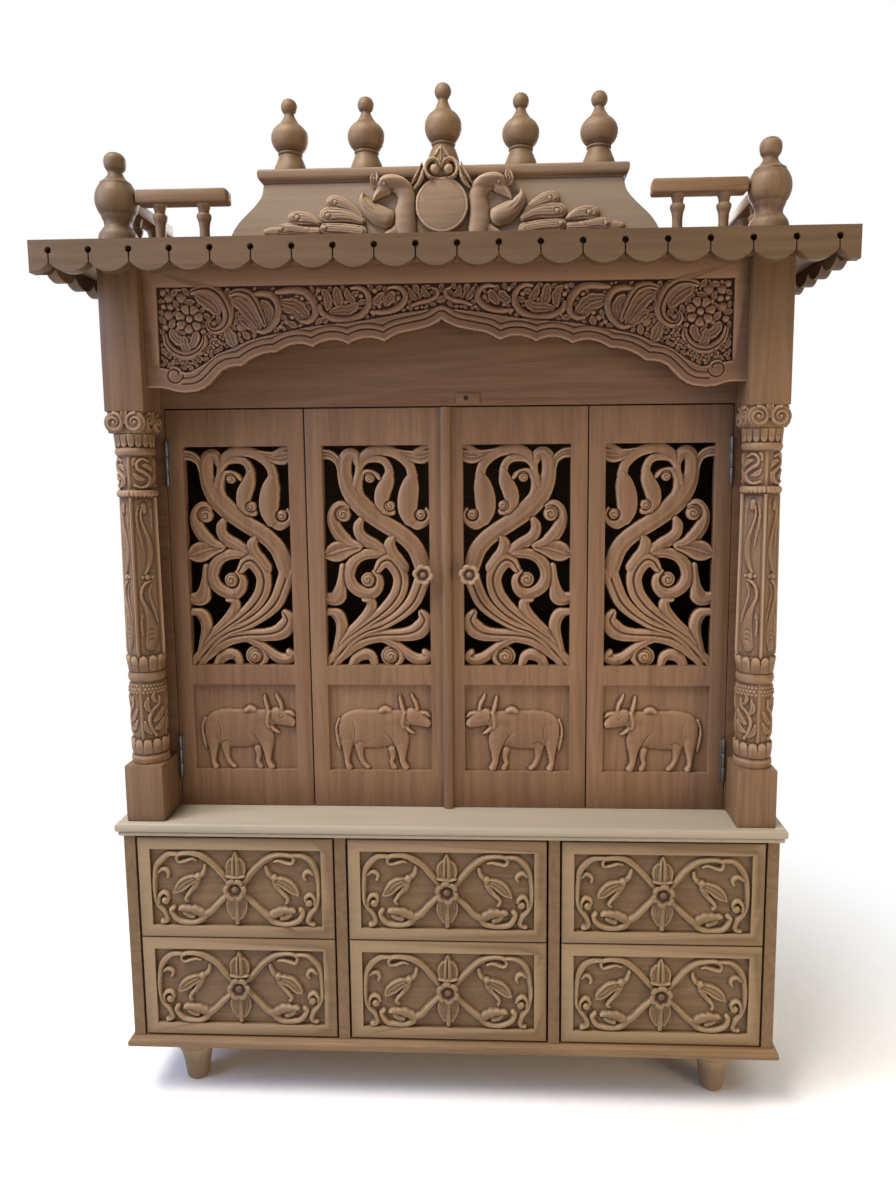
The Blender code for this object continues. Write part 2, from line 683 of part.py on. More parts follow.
# Doors
DRAWN_WINDOW = (175.5, 367)    # width and height of the window that the strokes below are drawn in
SCROLLS = (
    [(166, 156, 14), (152, 195, 14), (120, 226, 14), (84, 250, 15), (51, 282, 16), (36, 318, 12),
     (37, 342, 12), (47, 352, 10), (58, 342, 7)],
    [(52, 302, 7), (60, 330, 7), (68, 348, 9), (84, 358, 10), (102, 359, 9), (120, 355, 8.5),
     (135, 345, 8.5), (146, 330, 8), (148, 314, 9), (142, 296, 15), (139, 272, 17), (142, 250, 15),
     (155, 238, 10), (167, 242, 7), (172, 254, 5)],
    [(61, 330, 4), (71, 342, 5), (84, 346, 6.5), (97, 344, 6.5), (107, 335, 6.5), (109, 320, 8),
     (104, 303, 12), (97, 285, 12), (98, 268, 11), (107, 259, 8)],
    [(64, 276, 6), (59, 295, 6), (61, 315, 6), (72, 323, 6), (86, 320, 5), (94, 312, 3)],
    [(120, 358, 5), (139, 352, 7), (154, 348, 10), (166, 352, 12), (180, 356, 10)],
    [(-6, 354, 9), (12, 352, 8), (24, 342, 6), (30, 324, 5)],
    [(60, 200, 7), (44, 205, 9), (30, 215, 11), (20, 228, 11), (14, 244, 10), (17, 260, 9), (28, 268, 8),
     (40, 264, 6)],
    [(62, 246, 5), (56, 235, 8), (58, 222, 9), (70, 210, 10), (96, 192, 9)],
    [(54, 200, 8), (36, 197, 13), (19, 192, 17), (4, 188, 9), (-6, 186, 5)],
    [(94, 190, 9), (69, 188, 9), (52, 180, 9), (41, 165, 10), (40, 146, 10), (48, 131, 10), (62, 123, 10),
     (78, 121, 10), (88, 132, 9), (89, 148, 7)],
    [(84, 158, 6), (94, 173, 10), (108, 176, 13), (121, 163, 13), (126, 143, 13), (119, 118, 13), (102, 98, 12),
     (72, 74, 9), (39, 50, 7)],
    [(114, 217, 5), (108, 205, 9), (111, 190, 11), (129, 165, 11)],
    [(166, 156, 14), (157, 132, 13), (147, 110, 12.5), (130, 91, 11), (108, 76, 9), (64, 57, 9), (39, 40, 10),
     (18, 16, 12), (5, -4, 14)],
    [(14, 10, 12), (39, 32, 13), (64, 45, 12), (94, 50, 11), (123, 51, 11), (146, 55, 13), (160, 65, 15),
     (165, 80, 11), (158, 90, 5)],
    [(12, 8, 8), (18, 32, 8), (24, 56, 9), (23, 75, 10), (10, 88, 8), (-6, 91, 6)],
    [(28, 170, 5), (26, 150, 7), (23, 130, 10), (14, 114, 12), (-6, 114, 9)],
    [(24, 38, 6), (39, 55, 8), (58, 71, 10), (72, 88, 11), (76, 104, 9), (64, 111, 5)],
    [(40, -6, 8), (48, 11, 9), (62, 18, 10), (75, 13, 8), (80, -6, 6)],
    [(89, 46, 7), (106, 38, 7), (118, 27, 7), (123, 12, 7), (116, -6, 6)],
    [(92, 47, 7), (114, 36, 8), (132, 20, 9), (150, 7, 11), (172, -2, 9)],
)
BUDS = ((71, 145, 13), (77, 312, 9), (110, 268, 9), (161, 253, 11), (32, 253, 13), (107, 15, 17), (166, 156, 18),
        (161, 18, 9))
BUD_SIDES = 8
DRAWN_PANEL = (175.5, 149)     # and of the lower panel that the cow is drawn in
COW = [(14, 89), (20, 100), (32, 104), (79, 102), (94, 111), (106, 100), (122, 104), (144, 113), (161, 97),
       (162, 84), (156, 74), (134, 80), (124, 48), (118, 38), (84, 34), (39, 40), (20, 40), (16, 62)]
COW_LIMBS = (
    [(26, 46, 9), (29, 24, 5), (31, 3, 6)],
    [(44, 44, 9), (48, 3, 6)],
    [(103, 42, 8), (98, 3, 5.5)],
    [(116, 44, 8), (120, 3, 6)],
    [(122, 102, 3.5), (121, 128, 2)],
    [(144, 111, 4), (137, 130, 2)],
)


def drawn_in(field, drawn, mirror):
    """Places outlines drawn in millimetres from the lower left corner of a field."""
    (left, bottom), (right, top) = field
    stretch = ((right - left) / (drawn[0] * MM), (top - bottom) / (drawn[1] * MM))
    corner = (right if mirror else left, bottom)
    sign = -1 if mirror else 1

    return lambda outline: scaled(outline, sign, corner, stretch)


def door_leaf(name, low_x, high_x, mirror):
    low, high = COUNTER_TOP + SEAM, DOOR_TOP - LEAF_SEAM
    left, right = low_x + WINDOW_MARGIN, high_x - WINDOW_MARGIN
    window = ((left, COUNTER_TOP + WINDOW_BOTTOM), (right, COUNTER_TOP + WINDOW_TOP))
    panel = ((left, COUNTER_TOP + PANEL_BOTTOM), (right, COUNTER_TOP + PANEL_TOP))
    floor = DOOR_THICKNESS - PANEL_RECESS
    layers = [(rectangle((low_x, low), (high_x, high)), "set", DOOR_THICKNESS),
              (rectangle(*panel), "set", floor), (rectangle(*window), "cut", 0.0)]
    place = drawn_in(window, DRAWN_WINDOW, mirror)
    for points in SCROLLS:
        layers.append((place(stroke(points)), "raise", SCROLL_LEVEL))
    for bud in BUDS:
        layers.append((place(disc(*bud, BUD_SIDES)), "raise", SCROLL_LEVEL))
    place = drawn_in(panel, DRAWN_PANEL, mirror)
    layers.append((place(COW), "raise", floor + COW_RELIEF))
    for points in COW_LIMBS:
        layers.append((place(stroke(points)), "raise", floor + COW_RELIEF))
    return carved(name, layers, facing_front(DOOR_PLANE + DOOR_THICKNESS))


def doors():
    edge = OPENING_WIDTH / 2
    seams = [-edge, -edge / 2, 0.0, edge / 2, edge]
    names = ("outer_left", "inner_left", "inner_right", "outer_right")
    for name, low_x, high_x, mirror in zip(names, seams, seams[1:], (False, False, True, True)):
        door_leaf(f"door_leaf_{name}", low_x + LEAF_SEAM / 2, high_x - LEAF_SEAM / 2, mirror)
    astragal()
    for side, sign in (("left", -1), ("right", 1)):
        root = DOOR_PLANE + DOOR_THICKNESS - SCROLL_LEVEL - SEAM
        flower_knob(f"door_knob_{side}", (sign * DOOR_KNOB_X, COUNTER_TOP + DOOR_KNOB_Z), root,
                    DOOR_KNOB_RADIUS, DOOR_KNOB_REACH)
        for level, centre in zip(("lower", "upper"), HINGE_CENTRES):
            hinge(f"hinge_{side}_{level}", sign, COUNTER_TOP + centre)


def astragal():
    """Half-round bead on the free edge of the right inner leaf, over the middle seam."""
    bm = bmesh.new()
    count = 8
    plane = DOOR_PLANE - SEAM
    rings = []
    for z in (COUNTER_TOP + SEAM, DOOR_TOP - LEAF_SEAM):
        rings.append([bm.verts.new((ASTRAGAL_RADIUS * math.cos(math.pi * k / count),
                                    plane - ASTRAGAL_RADIUS * math.sin(math.pi * k / count), z))
                      for k in range(count + 1)])
    close_rings(bm, rings)
    return add_object("door_astragal", bm, smooth=True)


def hinge(name, sign, centre_z):
    """A butt hinge: a knuckle in front of the seam at the jamb, on a leaf that lies on the door."""
    x = sign * OPENING_WIDTH / 2
    plane = DOOR_PLANE - SEAM
    low, high = centre_z - HINGE_LENGTH / 2, centre_z + HINGE_LENGTH / 2
    ends = sorted((x - sign * HINGE_PLATE_WIDTH, x - sign * LEAF_SEAM / 2))
    plate = board(name, (ends[0], plane - HINGE_PLATE, low), (ends[1], plane, high), edge=0, finish=steel())
    knuckle = turned("knuckle", [(HINGE_RADIUS, low), (HINGE_RADIUS, high)],
                     (x - sign * HINGE_RADIUS, plane - HINGE_RADIUS - SEAM, 0.0), 8, finish=steel())
    return fused(plate, knuckle)


# Roof
def scalloped_edge(length, pitch, phase, bottom, cusp, top):
    """Lower edge of a fascia from 0 to length: lobes, each with a keyhole and slit above its cusps."""
    count = 4
    points = []
    first = phase
    cusps = []
    while first < length - SLIT_WIDTH * 2:
        if first > SLIT_WIDTH * 2:
            cusps.append(first)
        first += pitch
    rise = cusp - bottom
    half = pitch / 2
    radius = (half ** 2 + rise ** 2) / (2 * rise)

    def lobe(x, centre):
        return bottom + radius - math.sqrt(max(radius ** 2 - (x - centre) ** 2, 0.0))

    starts = [0.0] + [c + SLIT_WIDTH / 2 for c in cusps]
    ends = [c - SLIT_WIDTH / 2 for c in cusps] + [length]
    for i, (a, b) in enumerate(zip(starts, ends)):
        if i == 0:
            centre = b + SLIT_WIDTH / 2 - half
        else:
            centre = a - SLIT_WIDTH / 2 + half
        for k in range(count + 1):
            x = a + (b - a) * (0.5 - 0.5 * math.cos(math.pi * k / count))
            points.append(Vector((x, lobe(x, centre))))
        if i < len(cusps):
            points += keyhole(cusps[i], top)
    return points


def keyhole(x, top):
    """Round hole open to the slit, walked from the slit's left side to its right side."""
    centre_z = top - KEYHOLE_DROP
    count = 5
    lean = math.asin(SLIT_WIDTH / 2 / KEYHOLE_RADIUS)
    start = -math.pi / 2 - lean
    sweep = 2 * math.pi - 2 * lean
    return [Vector((x + KEYHOLE_RADIUS * math.cos(start - sweep * k / count),
                    centre_z + KEYHOLE_RADIUS * math.sin(start - sweep * k / count)))
            for k in range(count + 1)]


def fascias():
    top = ROOF_TOP
    bottom = top - FASCIA_HEIGHT
    cusp = bottom + LOBE_DROP
    length = 2 * ROOF_HALF_WIDTH
    lower = scalloped_edge(length, LOBE_PITCH, LOBE_PITCH / 2, bottom, cusp, top)
    outline = [Vector((p.x - ROOF_HALF_WIDTH, p.y)) for p in lower]
    outline += [Vector((ROOF_HALF_WIDTH, top)), Vector((-ROOF_HALF_WIDTH, top))]
    carved("fascia_front", [(outline, "set", PANEL)], facing_front(PANEL - ROOF_FRONT))
    start = PANEL - ROOF_FRONT + SEAM
    length = BASE_DEPTH - start
    lower = scalloped_edge(length, LOBE_PITCH, SIDE_LOBE_START, bottom, cusp, top)
    outline = [Vector((p.x + start, p.y)) for p in lower]
    outline += [Vector((start + length, top)), Vector((start, top))]
    for side, sign in (("left", -1), ("right", 1)):
        inner = ROOF_HALF_WIDTH - PANEL
        carved(f"fascia_{side}", [(outline, "set", PANEL)],
               lambda along, up, height, s=sign: (s * (inner + height), along, up))


def roof():
    half = ROOF_HALF_WIDTH - PANEL - SEAM
    board("roof_board", (-half, PANEL - ROOF_FRONT + SEAM, ROOF_UNDER), (half, BASE_DEPTH, ROOF_TOP))
    fascias()


# Turned finial, as fractions of its height
FINIAL = [(0.205, 0.0), (0.215, 0.04), (0.195, 0.125), (0.15, 0.19), (0.145, 0.24), (0.18, 0.30), (0.228, 0.38),
          (0.242, 0.47), (0.215, 0.57), (0.145, 0.65), (0.08, 0.74), (0.08, 0.79), (0.115, 0.86), (0.112, 0.93),
          (0.0, 1.0)]


def finial(name, centre, height):
    return turned(name, [(r * height, h * height) for r, h in FINIAL], centre)


def finial_belly(height):
    return max(r for r, _ in FINIAL) * height


def rail(low, high):
    return board("rail", low, high, edge=4 * MM)


# A baluster's radius in millimetres and share of its height
BALUSTER = [(9.0, 0.0), (7.5, 0.2), (7.5, 0.45), (10.5, 0.66), (10.5, 0.72), (8.5, 0.79), (10.5, 1.0)]
BALUSTER_SIDES = 8


def baluster(centre):
    foot = ROOF_TOP + SEAM
    reach = RAIL_UNDERSIDE + 2 * MM - SEAM
    return turned("baluster", [(r * MM, h * reach) for r, h in BALUSTER], (*centre, foot), BALUSTER_SIDES)


def balustrades():
    low = ROOF_TOP + RAIL_UNDERSIDE
    high = low + RAIL_HEIGHT
    clear = finial_belly(FINIAL_HEIGHT) + SEAM
    y = -FINIAL_FRONT
    for side, sign in (("left", -1), ("right", 1)):
        finial(f"corner_finial_{side}", (sign * FINIAL_X, y, ROOF_TOP + SEAM), FINIAL_HEIGHT)
        ends = sorted((sign * (FINIAL_X - clear), sign * (PLATE_HALF_WIDTH + RAIL_PAST_PLATE)))
        front = rail((ends[0], y - RAIL_WIDTH / 2, low), (ends[1], y + RAIL_WIDTH / 2, high))
        front.name = f"balustrade_front_{side}"
        fused(front, *[baluster((sign * (FINIAL_X - gap), y)) for gap in BALUSTER_GAPS])
        start = y + clear
        run = rail((sign * FINIAL_X - RAIL_WIDTH / 2, start, low),
                   (sign * FINIAL_X + RAIL_WIDTH / 2, start + RAIL_SIDE_LENGTH, high))
        run.name = f"balustrade_side_{side}"
        fused(run, *[baluster((sign * FINIAL_X, y + gap)) for gap in BALUSTER_GAPS])


# Crown: reach past the plate's edge and height above the roof, in millimetres from the bottom up
CROWN_SIDE = [(51, 0), (50, 24), (45, 39), (33, 56), (16, 72), (3, 85), (-5, 97), (-8, 113)]
CROWN_DRAWN_HEIGHT = 113


def crown_side(inset=0.0, steps=2):
    rise = CROWN_HEIGHT / CROWN_DRAWN_HEIGHT
    drawn = [(PLATE_HALF_WIDTH + reach * MM - inset, ROOF_TOP + height * rise) for reach, height in CROWN_SIDE]
    return [Vector(p) for p in smooth_curve(drawn, steps)]


def crown_body():
    low = ROOF_TOP + SEAM
    side = crown_side()
    for point in side:
        point.y = min(max(point.y, low), CROWN_TOP - SEAM)
    back = CROWN_FRONT + CROWN_DEPTH
    body = carved("crown_body", [(mirrored(side), "set", CROWN_DEPTH)], facing_front(back))
    hollow = crown_side(CROWN_WALL, 1)
    for point in hollow:
        point.y = min(point.y, CROWN_TOP - CROWN_WALL)
    hollow[0].y = low - CROWN_WALL
    inside = carved("hollow", [(mirrored(hollow), "set", CROWN_DEPTH - 2 * CROWN_WALL)],
                    facing_front(back - CROWN_WALL))
    return cut(body, inside)


def crown_plate():
    half = PLATE_HALF_WIDTH - PLATE_OVERHANG
    back = CROWN_FRONT + CROWN_DEPTH
    bm = bmesh.new()
    loops = []
    for overhang, level in PLATE_EDGE:
        x = half + overhang
        low_y, high_y = CROWN_FRONT - overhang, back + overhang
        corners = ((-x, low_y), (x, low_y), (x, high_y), (-x, high_y))
        loops.append([bm.verts.new((cx, cy, CROWN_TOP + level)) for cx, cy in corners])
    close_rings(bm, loops)
    return add_object("crown_plate", bm)


def crown_finials():
    middle = (CROWN_FINIAL_COUNT - 1) / 2
    y = CROWN_FRONT + CROWN_DEPTH / 2
    for k in range(CROWN_FINIAL_COUNT):
        height = CROWN_FINIAL_HEIGHT * (MIDDLE_FINIAL_SCALE if k == middle else 1.0)
        finial(f"crown_finial_{k + 1}", ((k - middle) * CROWN_FINIAL_PITCH, y, PLATE_TOP + SEAM), height)


# Crest, right half, in millimetres from the medallion's centre
CREST_CENTRE = 73 * MM    # above the roof
TAIL_STEP = 5 * MM        # feathers lie behind the birds
BODY_STEP = 2 * MM
MEDALLION_RADIUS = 41 * MM
PEACOCK_NECK = [(48, -42, 20), (54, -16, 20), (59, 8, 19), (66, 24, 15), (78, 34, 11), (92, 32, 9), (101, 20, 8),
                (106, 8, 3)]
PEACOCK_BODY = [(84, -40, 16), (100, -20, 20), (116, -4, 17), (124, 12, 8), (127, 20, 2)]
TAIL = ([(112, -26, 12), (150, -8, 12), (176, 0, 11), (186, 6, 5)],
        [(112, -40, 14), (160, -30, 14), (200, -28, 14), (234, -18, 8), (243, -13, 4)],
        [(180, -44, 14), (230, -38, 12), (268, -38, 9), (284, -42, 5)])
LEAF = [(0, 34, 34), (0, 52, 26), (0, 68, 15), (0, 84, 3)]
SCROLL_SIDE = [(34, 22, 4), (30, 44, 7), (20, 60, 8)]


def crest():
    centre = (0.0, ROOF_TOP + CREST_CENTRE)
    drawn_half = max(across + half_width for feather in TAIL for across, _, half_width in feather)
    stretch = (PLATE_HALF_WIDTH / (drawn_half * MM), 1.0)
    top = CARVING_THICKNESS
    layers = []
    for mirror in (-1, 1):
        strokes = [(points, top - TAIL_STEP) for points in TAIL]
        strokes += [(PEACOCK_BODY, top - BODY_STEP), (PEACOCK_NECK, top), (SCROLL_SIDE, top - BODY_STEP)]
        for points, height in strokes:
            layers.append((scaled(stroke(points), mirror, centre, stretch), "raise", height))
    layers.append((scaled(stroke(LEAF, 2), 1, centre, stretch), "raise", top - BODY_STEP))
    layers.append((disc(*centre, MEDALLION_RADIUS, 20), "raise", top))
    low = ROOF_TOP + SEAM
    layers.append((rectangle((-PAST_ALL, low - PAST_ALL), (PAST_ALL, low)), "cut", 0.0))
    body = carved("crown_carving", layers, facing_front(CROWN_FRONT - SEAM))
    notch = board("notch", (-PAST_ALL, CROWN_FRONT - PLATE_OVERHANG - SEAM, CROWN_TOP - SEAM),
                  (PAST_ALL, PAST_ALL, CROWN_TOP + PAST_ALL), edge=0)
    return cut(body, notch)


def build():
    clear_scene()
    feet()
    base_boards()
    drawers()
    for side, sign in (("left", -1), ("right", 1)):
        pillar(f"pillar_{side}", sign * PILLAR_X)
    shrine_boards()
    arch_panel()
    doors()
    roof()
    balustrades()
    crown_body()
    crown_plate()
    crown_finials()
    crest()


build()
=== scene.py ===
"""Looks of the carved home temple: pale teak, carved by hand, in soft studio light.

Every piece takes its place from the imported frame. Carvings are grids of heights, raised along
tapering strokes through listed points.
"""
import math

import bmesh
import bpy
import numpy as np
from mathutils import Matrix, Vector


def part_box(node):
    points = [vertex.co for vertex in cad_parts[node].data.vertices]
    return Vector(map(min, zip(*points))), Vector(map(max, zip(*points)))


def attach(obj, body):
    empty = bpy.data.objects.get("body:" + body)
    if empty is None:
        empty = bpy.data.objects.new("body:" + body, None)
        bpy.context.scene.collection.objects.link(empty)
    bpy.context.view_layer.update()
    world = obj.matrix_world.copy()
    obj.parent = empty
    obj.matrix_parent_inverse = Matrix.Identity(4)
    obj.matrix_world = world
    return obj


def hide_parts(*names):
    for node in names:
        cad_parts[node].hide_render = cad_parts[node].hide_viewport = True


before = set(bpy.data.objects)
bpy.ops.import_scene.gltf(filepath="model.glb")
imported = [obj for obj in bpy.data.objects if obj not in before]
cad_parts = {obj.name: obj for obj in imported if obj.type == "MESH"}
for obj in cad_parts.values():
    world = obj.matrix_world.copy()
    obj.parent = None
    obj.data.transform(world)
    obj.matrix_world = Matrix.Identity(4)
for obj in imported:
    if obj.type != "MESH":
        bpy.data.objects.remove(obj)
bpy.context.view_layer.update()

MM = 0.001
ROOT = "root"
SEAT = 0.3                   # step that keeps the faces of pieces that meet apart, in millimetres

# Camera of the photo
CAMERA_PLACE = (0.0986, -1.5392, 1.0655)
CAMERA_PITCH = 6.76
CAMERA_YAW = -2.5
CAMERA_ROLL = -0.42
PHOTO_SIZE = (896, 1195)
PHOTO_FOCAL = 853.54
PHOTO_CENTRE = (469.43, 571.45)
SENSOR = 36.0


# Materials
def node_tree(name):
    material = bpy.data.materials.new(name)
    material.use_nodes = True
    tree = material.node_tree
    return material, tree, tree.nodes["Principled BSDF"]


def feed(socket, value):
    """Links an output to a socket, or sets the socket to a number, a vector or a colour."""
    if isinstance(value, bpy.types.NodeSocket):
        socket.id_data.links.new(value, socket)
    else:
        socket.default_value = (*value, 1.0) if socket.type == "RGBA" else value


def add_node(tree, kind, values=None, **settings):
    """A new node with settings of its own, and with values for some of its sockets."""
    node = tree.nodes.new(kind)
    for key, value in settings.items():
        setattr(node, key, value)
    for socket, value in (values or {}).items():
        feed(node.inputs[socket], value)
    return node


def point_value(tree, name):
    """A number that every point of a piece carries."""
    return add_node(tree, "ShaderNodeAttribute", attribute_name=name).outputs["Fac"]


def ramp(tree, value, *stops):
    """A colour that runs through stops of (place, colour) as a value rises."""
    node = add_node(tree, "ShaderNodeValToRGB", {"Fac": value})
    elements = node.color_ramp.elements
    while len(elements) < len(stops):
        elements.new(0.5)
    for element, (place, colour) in zip(elements, stops):
        element.position = place
        element.color = (*colour, 1.0)
    return node.outputs["Color"]


def grey(level):
    return (level, level, level)


def stretched_noise(tree, place, scale, detail, rough, distortion=0.0, shift=0.0):
    """Noise over coordinates stretched by scale, so that it streaks along the smallest of them."""
    stretched = add_node(tree, "ShaderNodeMapping", {"Vector": place, "Scale": scale}).outputs["Vector"]
    values = {"Vector": stretched, "W": shift, "Scale": 1.0, "Detail": detail, "Roughness": rough,
              "Distortion": distortion}
    return add_node(tree, "ShaderNodeTexNoise", values, noise_dimensions="4D").outputs["Fac"]


def math_node(tree, operation, a, b=0.0, clamp=False):
    return add_node(tree, "ShaderNodeMath", {0: a, 1: b}, operation=operation, use_clamp=clamp).outputs[0]


def mix_colour(tree, factor, a, b, blend="MIX"):
    values = {"Factor": factor, 6: a, 7: b}
    return add_node(tree, "ShaderNodeMix", values, data_type="RGBA", blend_type=blend).outputs[2]


def mix_shaders(tree, factor, a, b, output):
    """Sends a mix of two shaders to the surface of an output node."""
    mixed = add_node(tree, "ShaderNodeMixShader", {0: factor, 1: a.outputs[0], 2: b.outputs[0]})
    feed(tree.nodes[output].inputs["Surface"], mixed.outputs[0])


WOOD_LIGHT = (0.250, 0.156, 0.090)
WOOD_MIDDLE = (0.184, 0.109, 0.061)
WOOD_DARK = (0.118, 0.064, 0.034)
PORE = (0.060, 0.032, 0.019)
# Rubbed wear with a painted highlight, laid on the crests of carvings
RUBBED_AND_HIGHLIGHT = (0.50, 0.345, 0.215)
# A pale board colour, partly the boards' own and partly painted light on the counter
PALE_BOARD_AND_PAINTED_LIGHT = (0.36, 0.36, 0.30)
# Painted shade: the colour that darkens the hollows of carvings
HOLLOW_SHADE_TINT = (0.20, 0.13, 0.10)
REDDISH = (1.05, 0.94, 0.97)
OLIVE = (0.98, 1.03, 0.94)
PATCH_DARK = (0.84, 0.78, 0.77)
PATCH_PALE = (1.08, 1.07, 1.03)
STEEL_DARK = (0.062, 0.054, 0.047)
STEEL_PALE = (0.14, 0.124, 0.106)
RUST = (0.20, 0.12, 0.08)
# Noises of the timber, its figure, streaks and fibres: scale across the grain and along it, detail,
# roughness and distortion
GRAIN = ((13, 0.9, 4, 0.55, 0.7), (120, 3.0, 5, 0.6, 0.25), (900, 22, 3, 0.6, 0.0))
PATCHES = (3.1, 3.1, 3.1)
RINGS = 9.0                  # year rings between the lowest and highest of the figure
TINT_SHARES = (0.30, 0.42, 0.26)                                     # of the rings, streaks and fibres
PATCH_SHARE = 0.75
PORES_BELOW, PORE_SHARE = 0.375, 0.26
HOLLOW_SHADE_SHARE, RUBBED_HIGHLIGHT_SHARE, PALE_AND_LIGHT_SHARE = 0.90, 0.50, 0.9
GLOSS = 0.24
BUMP_STRENGTH, BUMP_HEIGHT = 0.35, 0.25
NEXT_PIECE = 3.7             # step in the noises from one piece to the next


def timber(name, along):
    """Sanded teak whose grain runs along one axis: streaks, fibres and pores, with painted shade in the
    hollows of carvings, rubbed wear with a painted highlight on their crests, and a tone for each piece that
    is partly painted light and shade.
    """
    material, tree, shader = node_tree(name)
    place = add_node(tree, "ShaderNodeTexCoord").outputs["Object"]
    relief, tone = point_value(tree, "relief"), point_value(tree, "tone")

    def times(a, b, clamp=False):
        return math_node(tree, "MULTIPLY", a, b, clamp)

    def plus(a, b):
        return math_node(tree, "ADD", a, b)

    shift = times(point_value(tree, "piece"), NEXT_PIECE)
    noises = []
    for across, lengthways, *character in GRAIN:
        scale = tuple(lengthways if axis == along else across for axis in "XYZ")
        noises.append(stretched_noise(tree, place, scale, *character, shift))
    figure, streaks, fibres = noises
    patches = stretched_noise(tree, place, PATCHES, 2, 0.5, shift=shift)
    rings = math_node(tree, "FRACT", times(figure, RINGS))
    rings = math_node(tree, "ABSOLUTE", math_node(tree, "SUBTRACT", rings, 0.5))
    shares = [times(value, share) for value, share in zip((rings, streaks, fibres), TINT_SHARES)]
    tint = plus(plus(shares[0], shares[1]), shares[2])
    colour = ramp(tree, tint, (0.16, WOOD_DARK), (0.42, WOOD_MIDDLE), (0.72, WOOD_LIGHT))
    patch = ramp(tree, patches, (0.30, PATCH_DARK), (0.70, PATCH_PALE))
    colour = mix_colour(tree, PATCH_SHARE, colour, patch, "MULTIPLY")
    pores = math_node(tree, "LESS_THAN", fibres, PORES_BELOW)
    colour = mix_colour(tree, times(pores, PORE_SHARE), colour, PORE)
    # The relief mark is painted light and shade: hollows are darkened as painted shade, crests lightened as
    # rubbed wear with a painted highlight
    hollow = times(relief, -1.0, clamp=True)
    raised = times(relief, RUBBED_HIGHLIGHT_SHARE, clamp=True)
    shaded_colour = mix_colour(tree, 1.0, colour, HOLLOW_SHADE_TINT, "MULTIPLY")
    colour = mix_colour(tree, times(hollow, HOLLOW_SHADE_SHARE), colour, shaded_colour)
    colour = mix_colour(tree, raised, colour, RUBBED_AND_HIGHLIGHT)
    cast = mix_colour(tree, point_value(tree, "warmth"), OLIVE, REDDISH)
    colour = mix_colour(tree, 1.0, colour, cast, "MULTIPLY")
    # Each piece's tone scales its colour, and above 1 turns it paler: partly its own colour, partly painted
    # light and shade
    toned = add_node(tree, "ShaderNodeVectorMath", {0: colour, "Scale": tone}, operation="SCALE")
    paleness_and_painted_light = times(math_node(tree, "SUBTRACT", tone, 1.0, clamp=True), PALE_AND_LIGHT_SHARE)
    feed(shader.inputs["Base Color"], mix_colour(tree, paleness_and_painted_light, toned.outputs["Vector"], PALE_BOARD_AND_PAINTED_LIGHT))
    feed(shader.inputs["Roughness"], ramp(tree, streaks, (0.3, grey(0.42)), (0.7, grey(0.60))))
    shader.inputs["Specular IOR Level"].default_value = GLOSS
    values = {"Strength": BUMP_STRENGTH, "Distance": BUMP_HEIGHT * MM, "Height": plus(fibres, streaks)}
    feed(shader.inputs["Normal"], add_node(tree, "ShaderNodeBump", values).outputs["Normal"])
    return material


def hinge_steel():
    """Dull steel with a brushed grain and a little rust in patches."""
    material, tree, shader = node_tree("hinge_steel")
    place = add_node(tree, "ShaderNodeTexCoord").outputs["Object"]
    brushed = stretched_noise(tree, place, (300, 300, 2600), 3, 0.6)
    stains = stretched_noise(tree, place, (90, 90, 60), 4, 0.6)
    base = ramp(tree, brushed, (0.3, STEEL_DARK), (0.7, STEEL_PALE))
    rusty = ramp(tree, stains, (0.52, grey(0.0)), (0.70, grey(0.55)))
    feed(shader.inputs["Base Color"], mix_colour(tree, rusty, base, RUST))
    shader.inputs["Metallic"].default_value = 0.85
    feed(shader.inputs["Roughness"], ramp(tree, stains, (0.3, grey(0.34)), (0.7, grey(0.52))))
    return material


WOOD_X = timber("teak_across", "X")
WOOD_Y = timber("teak_deep", "Y")
WOOD_Z = timber("teak_upright", "Z")
STEEL = hinge_steel()


# Placing pieces
made = []


def mark(mesh, name, values):
    """Gives the points of a mesh numbers that the materials read: one for all, or one for each."""
    attribute = mesh.attributes.get(name) or mesh.attributes.new(name, "FLOAT", "POINT")
    numbers = np.broadcast_to(values, len(mesh.vertices)).astype(np.float32)
    attribute.data.foreach_set("value", numbers)


# By the start of a name: how pale a board is against the common wood, and how reddish. The paleness is
# partly the boards' own colour and partly painted light and shade: the counter is painted paler where light
# from above falls on it, the arch and door frame under the eaves darker as in their shade, and the keyhole
# near-black as painted shade in its hole.
TONES_AND_PAINTED_LIGHT = {
    "crown_shelf": (1.10, 0.4), "crown": (1.34, 0.3), "crest": (1.14, 0.4), "counter": (1.64, 0.2),
    "plinth": (1.00, 0.0), "turned_foot": (1.12, 0.0), "finial": (0.90, 0.1), "corner_left": (0.62, 0.1),
    "corner": (0.78, 0.3), "eaves": (0.58, 0.2), "roof": (0.8, 0.4), "arch": (0.78, 0.9),
    "door_frame": (0.76, 0.9), "door_astragal": (0.92, 0.5), "leaf": (0.95, 0.65),
    "column_left": (0.86, 0.4), "column": (0.90, 0.4), "front": (0.80, 0.0), "knob": (1.10, 0.6),
    "rail": (0.92, 0.3), "base": (0.88, 0.0), "upper": (0.76, 0.6), "lock": (0.80, 0.9),
    "keyhole": (0.05, 1.0),
}
COMMON_TONES = (1.0, 0.4)


def mark_tones_and_painted_light(mesh, name, number):
    look = next((found for start, found in TONES_AND_PAINTED_LIGHT.items() if name.startswith(start)), COMMON_TONES)
    for key, value in zip(("piece", "tone", "warmth"), (number, *look)):
        mark(mesh, key, value)


